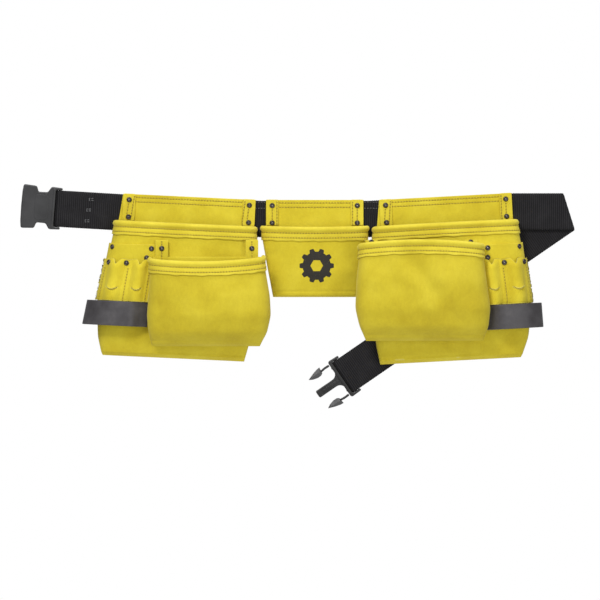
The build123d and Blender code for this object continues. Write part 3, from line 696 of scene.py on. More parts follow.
# a cap's (radius, height) from its middle out: a flat eye in paler metal, a painted highlight, then a ring-shaped
# hollow and a rolled edge
RIVET_PROFILE = [(0, 0.95), (0.45, 0.95), (0.80, 0.90), (1.00, 0.62), (1.22, 0.60), (1.42, 1.06), (1.75, 1.16),
                 (2.15, 1.04), (2.50, 0.72), (2.72, 0.30), (2.78, 0.0), (2.70, -0.5)]
RIVET_SIDES = 28
HIGHLIGHT_RINGS = 2              # rings of the profile that are the eye, given the paler metal of the painted highlight
CAP_REACH = 7.5            # the CAD rivets stand further apart than this
CAP_HEIGHT = 1.0


def rivet_places(node):
    """Middle of each rivet's cap: the solids stand well apart, so points that are close belong together."""
    points = points_of(node)
    left = np.ones(len(points), bool)
    found = []
    while left.any():
        seed = points[left][0]
        near = left & (np.hypot(points[:, 0] - seed[0], points[:, 2] - seed[2]) < CAP_REACH)
        cluster = points[near]
        cap = cluster[cluster[:, 1] < cluster[:, 1].min() + CAP_HEIGHT]
        found.append((cap.min(0) + cap.max(0)) / 2)
        left &= ~near
    return found


def rivets_on(name, spots, body, node):
    """spots are (point, normal) pairs on the suede."""
    template, faces = spun(RIVET_PROFILE, RIVET_SIDES)
    places, frames = [], []
    for point, normal in spots:
        up = normal / np.linalg.norm(normal)
        side = np.cross(up, (0.0, 0.0, 1.0))
        side /= np.linalg.norm(side)
        places.append(point)
        frames.append(np.array([side, np.cross(up, side), up]))
    obj = copies(name, template, faces, places, frames, RIVET, RIVET_HIGHLIGHT)
    # the eye's faces take the paler metal, a painted highlight
    highlight_faces = RIVET_SIDES * HIGHLIGHT_RINGS
    for index, polygon in enumerate(obj.data.polygons):
        polygon.material_index = 1 if index % len(faces) < highlight_faces else 0
    face_outward(obj)
    return place_piece(obj, body, "rivet", node)


# ---------------------------------------------------------------- suede pieces
def spaced(start, end, step):
    return np.linspace(start, end, max(2, int(abs(end - start) / step) + 1))


def seam_pull(distance, along):
    """How far a row of stitches pulls the suede in, at a distance from the row and along it."""
    tight = 0.65 + 0.35 * np.cos(2 * math.pi * along / STITCH_PITCH)
    return -SEAM_DEPTH * np.exp(-(distance / SEAM_WIDTH) ** 2) * tight


def belt_panel(name, skin, width, seams, stitching):
    """Back panel of a bag, sewn to the webbing by two rows along its top."""
    drops = np.concatenate([spaced(0, 10, 0.5), spaced(12, skin.bottom, 2.5)])
    shares = np.linspace(0, 1, int(width / 0.9))
    share, drop = np.meshgrid(shares, drops)
    lift = sum(seam_pull(drop - seam, share * width) for seam in seams)
    grid = skin.at(share, drop, lift)
    inset = (STRIP_WIDTH + 1.5) / width
    for seam in seams:
        stitching.row(skin, np.linspace(inset, 1 - inset, 120), seam, -0.12)
    return sheet(name, grid, LEATHER, SUEDE)


def patch(name, skin, across, drops, lift, corner=1.2):
    """Small flat piece on a flat skin, with rounded corners."""
    low, high = across
    top, bottom = drops
    wide, tall = np.meshgrid(spaced(low, high, GRID), spaced(top, bottom, GRID))
    centre_across, centre_drop = (low + high) / 2, (top + bottom) / 2
    half_across, half_drop = (high - low) / 2, (bottom - top) / 2
    u, v = (wide - centre_across) / half_across, (tall - centre_drop) / half_drop
    pull = corner * 0.3 * (np.abs(u) * np.abs(v)) ** 8
    wide = wide - np.sign(u) * pull
    tall = tall - np.sign(v) * pull
    forward = skin.front.max() + lift + sum((fold(wide, tall) for fold in skin.folds), np.zeros_like(wide))
    grid = skin.hang.world(wide, tall, forward)
    # the lighter copy of the suede: painted light
    return sheet(name, grid, LEATHER, SUEDE_PAINTED_LIGHTER)


def side_strips(name, skin, width, bottom, stitching):
    """The two strips that cover a panel's ends, stitched between their rivets and along their inner edge."""
    strips = []
    for number, (start, end) in enumerate(((0.2, STRIP_WIDTH), (width - STRIP_WIDTH, width - 0.2))):
        strips.append(patch(f"{name}_{number}", skin, (start, end), (-0.3, bottom), LEATHER))
        middle = (start + end) / 2
        share = skin.share(middle, 5.0)
        stitching.row(skin, share, np.linspace(10.5, 20.0, 30), LEATHER + 0.1)
        inner = end - 1.6 if start < 1 else start + 1.6
        stitching.row(skin, skin.share(inner, 5.0), np.linspace(2.5, bottom - 1.5, 60), LEATHER + 0.1)
    return joined(f"{name}s_suede", strips)


def pocket_front(name, skin, mouth, plain_or_shaded_suede=SUEDE):
    """Front of a pocket: from under its rim down and round to its bottom seam."""
    turn = np.sin(np.linspace(0, math.pi / 2, 16))[1:]
    steps = np.concatenate([np.linspace(0, 0.9, 70), 0.9 + 0.1 * turn])
    shares = np.linspace(0, 1, 170)
    share, step = np.meshgrid(shares, steps)
    top = mouth(share) + 1.0
    drop = top + (skin.bottom - 0.05 - top) * step
    crease = -0.5 * np.exp(-((drop - (skin.bottom - 6.0)) / 1.1) ** 2)
    grid = skin.at(share, drop, crease * np.clip(np.minimum(share, 1 - share) / 0.05, 0, 1))
    # the suede passed in may be the darker copy, which paints shade
    return sheet(name, grid, LEATHER, plain_or_shaded_suede)


def rim(name, skin, mouth, height, stitching):
    """Folded hem round a pocket's mouth: a soft roll, then two rows of stitches, then the cut edge."""
    first_row, second_row = RIM_ROWS
    profile = [(2.2, -LEATHER - 0.4), (0.9, -LEATHER - 0.2), (0.1, -0.9), (-0.35, 0.3), (-0.1, 1.6), (0.9, 2.65),
               (2.3, 3.05), (3.7, 2.75), (4.7, 2.05), (5.5, 1.45), (first_row, 1.32), (7.3, 1.42), (8.3, 1.46),
               (9.3, 1.46), (10.4, 1.42), (second_row, 1.34), (12.2, 1.40), (13.1, 1.44), (height - 0.5, 1.40),
               (height, 1.3), (height + 0.05, 0.5), (height - 0.1, -0.3), (9.0, -0.3), (4.0, -LEATHER - 0.3)]
    columns = int((skin.high.max() - skin.low.min()) / 0.85)
    shares = np.linspace(0, 1, columns)
    down = np.array([point[0] for point in profile])[:, None]
    lift = np.array([point[1] for point in profile])[:, None]
    length = skin.high.max() - skin.low.min() + 20
    lifted = np.where(lift > 0, lift + seam_pull(down - first_row, shares * length) * 0.8
                      + seam_pull(down - second_row, shares * length) * 0.8, lift)
    wander = 0.25 * np.sin(shares * 37.0) + 0.2 * np.sin(shares * 71.0 + 1.0)
    grid = skin.at(shares[None, :], mouth(shares)[None, :] + down + wander * (down > 12), lifted)
    rows = len(profile)
    faces = grid_faces(rows, columns, ring=True)
    faces.append(tuple(row * columns for row in range(rows)))
    faces.append(tuple(row * columns + columns - 1 for row in reversed(range(rows))))
    # the lighter copy of the suede: painted light on the top-lit roll
    obj = new_object(name, grid.reshape(-1, 3), faces, SUEDE_PAINTED_LIGHTER)
    face_outward(obj)
    line = np.linspace(0.02, 0.98, 200)
    for row, lift in ((first_row, 1.36), (second_row, 1.38)):
        stitching.row(skin, line, mouth(line) + row, lift)
    return obj


def curved_mouth(top, middle, skew=0.0):
    """Drop of a pocket's mouth over its width: `middle` is how much lower it sags halfway."""
    def drop(share):
        return top + middle * (1 - (2 * share - 1) ** 2) + skew * (share - 0.5)
    return drop


def tool_panel(name, skin, inner, top):
    """Patch pocket on the bag's outer part, its top left open."""
    drops = spaced(top, skin.bottom + 0.1, 1.2)
    columns = 70
    start = skin.share(np.full(len(drops), inner), drops)
    shares = start[:, None] + (1.0 - start[:, None]) * np.linspace(0, 1, columns)[None, :]
    shares = np.minimum(shares, 1.0)
    sag = 1.2 * np.sin(math.pi * np.linspace(0, 1, columns)) * np.exp(-(drops[:, None] - top) / 12)
    inner_edge = np.exp(-(np.linspace(0, 1, columns) / 0.10) ** 2)
    pressed = inner_edge * np.clip((drops[:, None] - 110.0) / 25.0, 0, 1)
    lift = LEATHER + 0.05 + 0.4 * np.exp(-(drops[:, None] - top) / 6) - (LEATHER - 0.15) * pressed
    grid = skin.at(shares, drops[:, None] + sag, lift)
    return sheet(name, grid, LEATHER, SUEDE)


def tool_sleeves(name, skin, centres, radius, pitch, rivet_drop, bottom, stitching):
    """Double tool sleeve: two soft arches between seams, each cut by a short crescent slit."""
    start, end = centres[0] - pitch / 2 - 2.0, centres[1] + pitch / 2 + 3.0
    across = spaced(start, end, 0.5)
    steps = np.linspace(0, 1, 130)
    seams = (centres[0] - pitch / 2 + 1.0, (centres[0] + centres[1]) / 2, centres[1] + pitch / 2 - 1.0)
    aside = np.min([np.abs(across - centre) for centre in centres], axis=0)
    notch = 4.6 * np.exp(-(aside / 2.3) ** 2)
    top = rivet_drop - 4.6 + notch + 0.9 * np.cos(math.pi * aside / (pitch / 2)) ** 2
    drop = top[None, :] + (bottom - top[None, :]) * steps[:, None]
    wide = np.broadcast_to(across, drop.shape)
    from_centre = np.broadcast_to(aside, drop.shape)
    arch = np.cos(math.pi / 2 * np.clip(from_centre / (radius - 0.4), 0, 1)) ** 1.15
    opening = np.clip((drop - rivet_drop + 4.0) / 9.0, 0, 1)
    fading = np.clip((drop - rivet_drop) / (bottom - rivet_drop), 0, 1)
    bulge = arch * (1.2 + 4.3 * np.sin(opening * math.pi / 2) - 1.2 * fading)
    half_slit = radius * 0.62
    slit = rivet_drop + 27.5 - 2.9 * (from_centre / half_slit) ** 2
    inside = np.clip(1.15 - (from_centre / half_slit) ** 4, 0, 1)
    lip = 1 / (1 + np.exp((drop - slit) / 0.16)) * np.exp(np.clip(drop - slit, -60, 0) / 5.0)
    under = (1 - 1 / (1 + np.exp((drop - slit) / 0.16))) * np.exp(-np.clip(drop - slit, 0, 60) / 2.2)
    lift = 2 * LEATHER + 0.2 + bulge + inside * (1.5 * lip - 1.7 * under)
    for seam in seams:
        lift = lift + seam_pull(wide - seam, drop)
    share = skin.share(wide[0], np.full(wide.shape[1], (rivet_drop + bottom) / 2))
    grid = skin.at(share[None, :], drop, lift)
    for seam in seams:
        line = np.linspace(rivet_drop + 6.0, bottom, 60)
        place = float(skin.share(seam, (rivet_drop + bottom) / 2))
        stitching.row(skin, place, line, 2 * LEATHER - 0.05)
    return sheet(name, grid, SLEEVE_LEATHER, SUEDE, edge=0.3)


def hammer_loop(name, skin, path, drop, width, flare):
    """Leather strap bent round a path of (across, forward); its lower edge may stand further out."""
    path = np.array(path, float)
    knots = np.concatenate([[0.0], np.cumsum(np.hypot(*np.diff(path, axis=0).T))])
    fine = np.linspace(0, knots[-1], 150)
    smooth = np.stack([catmull(knots, path[:, k], fine) for k in range(2)], 1)
    rows = spaced(-width / 2, width / 2, 0.9)
    reach = smooth[:, 0] - smooth[:, 0].min()
    reach = (reach / reach.max()) ** 3
    lower = (rows / width + 0.5)[:, None]
    across = smooth[:, 0][None, :] + flare * reach[None, :] * lower
    forward = np.broadcast_to(smooth[:, 1][None, :], across.shape)
    grid = skin.hang.world(across, drop + rows[:, None] + np.zeros_like(across), forward)
    obj = new_object(name, grid.reshape(-1, 3), grid_faces(len(rows), len(fine)), LOOP)
    thicken(obj, LOOP_LEATHER, 0.0)
    face_outward(obj)
    return soften(obj, 0.55, 3)


def catmull(knots, values, at):
    """Smooth curve through values at uneven knots."""
    slopes = np.gradient(values, knots)
    index = np.clip(np.searchsorted(knots, at, side="right") - 1, 0, len(knots) - 2)
    gap = knots[index + 1] - knots[index]
    t = (at - knots[index]) / gap
    return ((2 * t ** 3 - 3 * t ** 2 + 1) * values[index] + (t ** 3 - 2 * t ** 2 + t) * gap * slopes[index]
            + (3 * t ** 2 - 2 * t ** 3) * values[index + 1] + (t ** 3 - t ** 2) * gap * slopes[index + 1])


# ---------------------------------------------------------------- the three bags
RIM_HEIGHT = 14.5
POCKET_POWER = 3.4         # squareness of a front pocket seen from above
SLEEVE_RADIUS = 8.4
SLEEVE_PITCH = 23.5


def extent(node, hang):
    """Across, drop and forward of a node, each as (least, most)."""
    return [(float(values.min()), float(values.max())) for values in hang.local(points_of(node))]


def side_bag(side, seed, looks):
    """All the suede of one side bag, its loop and its rivets."""
    body = f"{side}_bag"
    stitching = Stitching()
    hang, width = panel_hang(f"{side}_belt_panel")
    turn = 1.0 if side == "right" else -1.0
    level = Hang((0.0, 0.0), (turn, 0.0))

    def keep(obj, node, slot="suede"):
        place_piece(obj, body, slot, f"{side}_{node}")

    panel_waves = (unevenness(seed, 60.0, 0.22), unevenness(seed + 1, 17.0, 0.07))
    panel = Skin(f"{side}_belt_panel", hang, panel_waves, flat=True)
    keep(belt_panel(f"{side}_belt_panel_suede", panel, width, TOP_SEAMS, stitching), "belt_panel")

    main_waves = (unevenness(seed + 2, 75.0, 0.8), unevenness(seed + 3, 24.0, 0.22), *looks["main_folds"])
    main = Skin(f"{side}_main_front", hang, main_waves, least=5.0)
    mouth = curved_mouth(main.top, *looks["main_mouth"])
    keep(pocket_front(f"{side}_main_pocket", main, mouth), "main_front")
    keep(rim(f"{side}_main_rim_suede", main, mouth, RIM_HEIGHT, stitching), "main_rim")
    keep(side_strips(f"{side}_side_strip", panel, width, main.top - 0.4, stitching), "side_strips")

    # tool panel, sleeves and hammer loop
    (tool_inner, _), (tool_top, _), _ = extent(f"{side}_tool_panel", hang)
    keep(tool_panel(f"{side}_tool_panel_suede", main, tool_inner, tool_top), "tool_panel")
    (sleeve_inner, _), (sleeve_top, sleeve_bottom), _ = extent(f"{side}_tool_sleeves", hang)
    first = sleeve_inner + SLEEVE_RADIUS - looks["sleeves_in"]
    centres = (first, first + SLEEVE_PITCH)
    rivet_drop = sleeve_top + 3.0
    keep(tool_sleeves(f"{side}_tool_sleeves_suede", main, centres, SLEEVE_RADIUS, SLEEVE_PITCH, rivet_drop,
                      sleeve_bottom, stitching), "tool_sleeves")
    (_, out), (low, high), (_, front) = extent(f"{side}_hammer_loop", hang)
    middle = (low + high) / 2
    skin_start = float(main.plan(main.share(centres[0] - SLEEVE_RADIUS, middle), np.array(middle))[1])
    edge = float(np.interp(middle, main.levels, main.high))
    path = [(centres[0] - 12.0, skin_start + LEATHER + 1.2), (centres[0] - 5.0, skin_start + 5.5),
            (centres[0] + 6.0, front - 1.0), (centres[1] - 6.0, front - 1.6), (edge + 1.0, front - 8.0),
            (out - 2.6, front * 0.52), (out - 1.2, front * 0.33), (edge + 7.0, 3.4), (edge - 4.0, 0.7),
            (edge - 18.0, 0.7)]
    keep(hammer_loop(f"{side}_hammer_loop_leather", main, path, middle, high - low, looks["loop_flare"]),
         "hammer_loop", "loop_leather")

    # front pocket, hung level
    pocket_waves = (unevenness(seed + 4, 80.0, 0.9), unevenness(seed + 5, 26.0, 0.25),
                    *looks["pocket_folds"])
    pocket = Skin(f"{side}_pocket_front", level, pocket_waves, power=POCKET_POWER, least=8.0)
    pocket_mouth = curved_mouth(pocket.top, *looks["pocket_mouth"])
    # the darker copy of the suede: painted shade on the pocket front
    keep(pocket_front(f"{side}_front_pocket", pocket, pocket_mouth, SUEDE_PAINTED_DARKER), "pocket_front")
    keep(rim(f"{side}_front_pocket_rim", pocket, pocket_mouth, RIM_HEIGHT, stitching), "pocket_rim")
    backing = Skin(f"{side}_pocket_back", level, (), flat=True)
    tab_across, tab_drop, _ = level.local(points_of(f"{side}_pocket_back"))
    tab_top = float(tab_drop.min())
    tabs_at = tab_across[tab_drop < tab_top + 0.5]
    parts = [pocket_backing(f"{side}_pocket_backing", backing, pocket.top + 0.6)]
    for number, (start, end) in enumerate(((tabs_at.min(), tabs_at.min() + STRIP_WIDTH),
                                           (tabs_at.max() - STRIP_WIDTH, tabs_at.max()))):
        parts.append(tab(f"{side}_tab_{number}", level, backing.front.max(), (start, end),
                         (tab_top - 1.0, pocket.top + 3.0), stitching))
    keep(joined(f"{side}_pocket_back_suede", parts), "pocket_back")

    # rivets sit on whatever suede is under them
    spots = []
    for place in rivet_places(f"{side}_rivets"):
        across, drop, forward = (float(v[0]) for v in hang.local(place[None, :]))
        if forward < 9.0:
            point = hang.world(across, drop, float(panel.front.max()) + LEATHER + 0.1)
            spots.append((point, FRONT))
        elif forward > backing.front.max() + 0.5:
            spots.append((np.array([place[0], -(backing.front.max() + 0.25), place[2]]), FRONT))
        else:
            on_sleeves = drop > rivet_drop - 2.0 and across > centres[0] - 3.0
            across -= looks["sleeves_in"] if on_sleeves else 0.0
            across -= looks["outer_rivet_in"] if on_sleeves and across > centres[1] else 0.0
            share = main.share(across, drop)
            lift = 2 * LEATHER + 0.45 if on_sleeves else LEATHER + 0.15
            spots.append((main.at(share, drop, lift), main.normal(share, drop)))
    rivets_on(f"{side}_rivet_caps", spots, body, f"{side}_rivets")
    stitching.make(f"{side}_stitching", body)


def pocket_backing(name, skin, top):
    """Flat back of a front pocket, from its mouth down."""
    drops = spaced(top, skin.bottom - 0.1, 2.0)
    share, drop = np.meshgrid(np.linspace(0, 1, 60), drops)
    return sheet(name, skin.at(share, drop), LEATHER, SUEDE)


def tab(name, hang, front, across, drops, stitching):
    """Riveted tab that joins a front pocket to the bag above it."""
    wide, tall = np.meshgrid(spaced(*across, 0.8), spaced(*drops, 0.8))
    belly = 0.25 * np.sin(wide * 0.5) - 0.5 * np.exp(-(tall - drops[0]) / 2.5)
    # the lighter copy of the suede: painted light
    obj = sheet(name, hang.world(wide, tall, front + belly), LEATHER, SUEDE_PAINTED_LIGHTER)
    middle = sum(across) / 2
    line = spaced(drops[0] + 2.0, drops[1], 0.5)
    points = hang.world(np.full(len(line), middle), line, front + 0.05)
    stitching.along(points, np.tile(FRONT, (len(line), 1)))
    return obj


def centre_pouch():
    """The small pouch in the middle, with its printed cog."""
    stitching = Stitching()

    def keep(obj, node):
        place_piece(obj, "centre", "suede", node)

    hang, width = panel_hang("centre_belt_panel")
    panel = Skin("centre_belt_panel", hang, (unevenness(5, 50.0, 0.2),), flat=True)
    keep(belt_panel("centre_belt_panel_suede", panel, width, TOP_SEAMS, stitching), "centre_belt_panel")
    skin = Skin("centre_pocket_front", hang, (unevenness(6, 60.0, 0.5), unevenness(7, 22.0, 0.2)))
    mouth = curved_mouth(skin.top, 1.6)
    keep(pocket_front("centre_pocket", skin, mouth), "centre_pocket_front")
    keep(rim("centre_rim_suede", skin, mouth, RIM_HEIGHT, stitching), "centre_pocket_rim")
    keep(side_strips("centre_side_strip", panel, width, skin.top - 0.4, stitching), "centre_side_strips")
    spots = []
    for place in rivet_places("centre_rivets"):
        across, drop, _ = (float(v[0]) for v in hang.local(place[None, :]))
        spots.append((hang.world(across, drop, float(panel.front.max()) + LEATHER + 0.1), FRONT))
    rivets_on("centre_rivet_caps", spots, "centre", "centre_rivets")
    stitching.make("centre_stitching", "centre")
    place_piece(printed_cog("printed_cog", skin, width / 2 + 2.0, 68.5), "centre", "suede")


def printed_cog(name, skin, across, drop):
    """A plain cog printed on the pouch: it lies on the skin, tooth by tooth."""
    teeth, outer, tooth, hole = 10, 14.6, 3.2, 6.6
    turns = np.linspace(0, 2 * math.pi, 361)
    wave = np.clip(np.cos(turns * teeth) * 2.6, -1, 1) * 0.5 + 0.5
    rim_radius = outer + tooth * wave
    hexagon = hole * math.cos(math.pi / 6) / np.cos((turns % (math.pi / 3)) - math.pi / 6)
    steps = np.linspace(0, 1, 14)[:, None]
    radius = hexagon[None, :] * (1 - steps) + rim_radius[None, :] * steps
    wide = across + radius * np.cos(turns)[None, :]
    tall = drop + radius * np.sin(turns)[None, :]
    share = (wide - skin.low.min()) / (skin.high.max() - skin.low.min())
    for _ in range(6):
        found = skin.plan(share, tall)[0]
        share = share + (wide - found) / (skin.high.max() - skin.low.min() + 20)
    grid = skin.at(share, tall, 0.12)
    obj = new_object(name, grid.reshape(-1, 3), grid_faces(len(steps), len(turns)), INK)
    flip_to(obj, FRONT)
    return obj


side_bag("left", 11, {
    "main_folds": (fold_along((20, 55), (60, 150), 16, -1.0),),
    "main_mouth": (0.6, 0.0),
    "pocket_folds": (fold_along((66, 95), (150, 120), 20, 0.9), fold_along((150, 125), (158, 108), 8, -0.8)),
    "pocket_mouth": (5.6, 2.0),
    "loop_flare": 4.0,
    "sleeves_in": 0.0,
    "outer_rivet_in": 5.0,
})
side_bag("right", 31, {
    "main_folds": (fold_along((20, 60), (70, 150), 18, -0.8),),
    "main_mouth": (-0.5, 0.0),
    "pocket_folds": (fold_along((100, 46), (142, 104), 9, -2.3), fold_along((122, 44), (160, 92), 14, 1.3),
                     fold_along((70, 118), (120, 124), 9, -0.9)),
    "pocket_mouth": (-5.4, 0.0),
    "loop_flare": 0.6,
    "sleeves_in": 4.0,
    "outer_rivet_in": 3.0,
})
centre_pouch()


# ---------------------------------------------------------------- webbing
WEB_THICK = 1.5
WEB_CELL = 0.55            # spacing of a strap's vertices along it
JOINTS = {joint["name"]: joint for joint in frame["joints"]}
web_low, web_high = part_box("webbing_centre")
HALF_WEB = (web_high.z - web_low.z) / MM / 2
WEB_MIDDLE = (web_low.y + web_high.y) / MM / 2
WEB_EDGES = (-HALF_WEB + 0.5, HALF_WEB - 0.5)     # where the webbing's rounded edges begin


def joint_at(name):
    return np.array(JOINTS[name]["pos_m"]) / MM


def webbing(name, middle, run):
    """Woven strap round a middle surface of (along, across) points; `run` is the distance along it."""
    along = np.gradient(middle, axis=0)
    across = np.gradient(middle, axis=1)
    normal = np.cross(along, across)
    normal /= np.linalg.norm(normal, axis=2, keepdims=True)
    side = across / np.linalg.norm(across, axis=2, keepdims=True)
    rows, columns = middle.shape[:2]
    place = np.linspace(-1, 1, columns)
    ribs = np.cos(2 * math.pi * run / WEB_RIB)[:, None]
    yarns = np.cos(math.pi * place * HALF_WEB / 1.3)[None, :]
    half = WEB_THICK / 2 + WEB_RIB_HEIGHT * ribs * (0.75 + 0.25 * yarns)
    half = half - 0.30 * np.abs(place[None, :]) ** 12
    front, back = middle + normal * half[..., None], middle - normal * half[..., None]
    lip = 0.42 + 0.16 * ribs
    near, far = middle[:, 0] - side[:, 0] * lip, middle[:, -1] + side[:, -1] * lip
    ring = np.concatenate([near[:, None], front, far[:, None], back[:, ::-1]], axis=1)
    ring = ring.transpose(1, 0, 2)
    loops = ring.shape[0]
    faces = grid_faces(loops, rows, ring=True)
    faces.append(tuple(loop * rows for loop in range(loops)))
    faces.append(tuple(loop * rows + rows - 1 for loop in reversed(range(loops))))
    obj = new_object(name, ring.reshape(-1, 3), faces, WEBBING)
    widths = np.concatenate([[place[0]], place, [place[-1]], place[::-1]]) * HALF_WEB
    layer = obj.data.uv_layers.new(name="weave")
    corners = np.zeros(len(obj.data.loops), int)
    obj.data.loops.foreach_get("vertex_index", corners)
    places = np.stack([run[corners % rows], widths[corners // rows]], 1)
    layer.data.foreach_set("uv", places.ravel())
    face_outward(obj)
    return obj


def even_path(points, corner=4.0):
    """Points every WEB_CELL along a polyline whose corners are rounded off."""
    points = np.array(points, float)
    run = np.concatenate([[0.0], np.cumsum(np.linalg.norm(np.diff(points, axis=0), axis=1))])
    distance = np.linspace(0, run[-1], int(run[-1] / WEB_CELL) + 1)
    line = np.stack([np.interp(distance, run, points[:, k]) for k in range(3)], 1)
    for _ in range(int((corner / WEB_CELL) ** 2 / 2)):
        line[1:-1] = (line[:-2] + 2 * line[1:-1] + line[2:]) / 4
    return line, distance


def upright(line, side):
    """Middle surface of a strap along a line, from one edge to the other."""
    widths = np.linspace(*WEB_EDGES, 23)
    return line[:, None, :] + widths[None, :, None] * side[:, None, :]


def side_of(line, window=6):
    """Width direction of a strap that runs along the belt: square to it and upward."""
    ahead = line[window:] - line[:-window]
    ahead = np.concatenate([np.repeat(ahead[:1], window // 2, 0), ahead,
                            np.repeat(ahead[-1:], window - window // 2, 0)])
    side = np.stack([-ahead[:, 2], np.zeros(len(line)), ahead[:, 0]], 1)
    side *= np.sign(side[:, 2:3])
    return side / np.linalg.norm(side, axis=1, keepdims=True)


def belt_span(turn, far_point, name):
    """Webbing from the middle of the centre pouch past its bend line and behind a side bag."""
    bend = joint_at(f"{turn}_bag_wrap")
    start = np.array([0.0, WEB_MIDDLE, 0.0])
    middle = np.array([bend[0], WEB_MIDDLE, 0.0])
    line, run = even_path([start, middle, far_point])
    obj = webbing(name, upright(line, side_of(line)), run)
    rows = Stitching()
    reach, count = 12.0, 40
    for height in (HALF_WEB - 1.6, HALF_WEB - 7.9):
        across = np.linspace(bend[0] - reach, bend[0] + reach, count)
        front = np.full(count, WEB_MIDDLE - WEB_THICK / 2 - 0.05)
        rows.along(np.stack([across, front, np.full(count, height)], 1), np.tile(FRONT, (count, 1)))
    obj = joined(name, [obj, rows.threads(f"{name}_stitches", BLACK_THREAD)])
    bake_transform(obj)
    return obj


left_bend = joint_at("left_end_wrap")
socket_bar = joint_at("socket_pivot")
fold_place = joint_at("tail_fold")
left_run = np.array([left_bend[0], WEB_MIDDLE, left_bend[2]])
left_start = np.array([joint_at("left_bag_wrap")[0], WEB_MIDDLE, 0.0])
left_toward = (left_run - left_start) / np.linalg.norm(left_run - left_start)
OVERLAP = 9.0              # straps pass this far under their neighbours
left_span = belt_span("left", left_run - left_toward * OVERLAP, "webbing_left_span")
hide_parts("webbing_left_bag", "webbing_centre")


def looped_end(name, start, bar, bar_radius, back_gap, back_length, slant=9.0):
    """Webbing that goes round a bar and doubles back behind itself."""
    toward = (bar - start) * np.array([1.0, 0.0, 1.0])
    toward /= np.linalg.norm(toward)
    back = np.array([0.0, 1.0, 0.0])
    below = np.array([bar[0], start[1], bar[2]])
    points = [start, below - toward * 2.0]
    for angle in np.linspace(0, math.pi, 25):
        points.append(bar + toward * bar_radius * math.sin(angle) - back * bar_radius * math.cos(angle))
    for reach in (slant, back_length):
        away = bar - toward * reach
        points.append(np.array([away[0], start[1] + back_gap, away[2]]))
    line, run = even_path(points, 1.0)
    up = np.cross(toward, back)
    up *= np.sign(up[2])
    return webbing(name, upright(line, np.tile(up, (len(line), 1))), run)


def bar_tack(place, size, stitching):
    """Small eye-shaped tack: two rings of thread, one in the other."""
    turns = np.linspace(0, 2 * math.pi, 60)
    eye = np.sin(turns) * (1 - 0.35 * np.abs(np.cos(turns)))
    wide, tall = size
    for share in (1.0, 0.62):
        points = np.stack([place[0] + share * wide * np.cos(turns), np.full(len(turns), place[1]),
                           place[2] + share * tall * eye], 1)
        stitching.along(points, np.tile(FRONT, (len(turns), 1)))


bar_loop = socket_bar[1] - WEB_MIDDLE
left_end = looped_end("webbing_left_end_strap", left_run - left_toward * (OVERLAP + 0.5), socket_bar,
                      bar_loop, 2.0, 40.0)
tacks = Stitching()
for share, height in ((0.48, 11.6), (0.52, 0.4), (0.545, -11.0)):
    spot = left_run + (socket_bar - left_run) * share
    bar_tack((spot[0], WEB_MIDDLE - WEB_THICK / 2 - 0.12, spot[2] + height), (3.0, 1.7), tacks)
left_end = joined("webbing_left_end_strap", [left_end, tacks.threads("bar_tacks", BLACK_THREAD)])
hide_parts("webbing_left_end")
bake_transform(left_end)

# the right end: level past the bag, folded back on itself along a slanted line, then down behind the bag
right_low, right_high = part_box("webbing_right_end")
tail_low, tail_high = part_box("webbing_tail")
TAIL_LENGTH = 215.0        # from the fold to the end of the strap behind the bag
CARRIER_LENGTH = 98.0      # of the adjuster's strap, to the plug's bar
right_start = np.array([joint_at("right_bag_wrap")[0], WEB_MIDDLE, 0.0])
right_turn = np.array([right_low.x, 0.0, (right_low.z + right_high.z) / 2]) / MM + [0.0, WEB_MIDDLE, 0.0]
right_toward = (right_turn - right_start) / np.linalg.norm(right_turn - right_start)
right_span = belt_span("right", right_turn - right_toward * OVERLAP, "webbing_right_span")
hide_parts("webbing_right_bag")


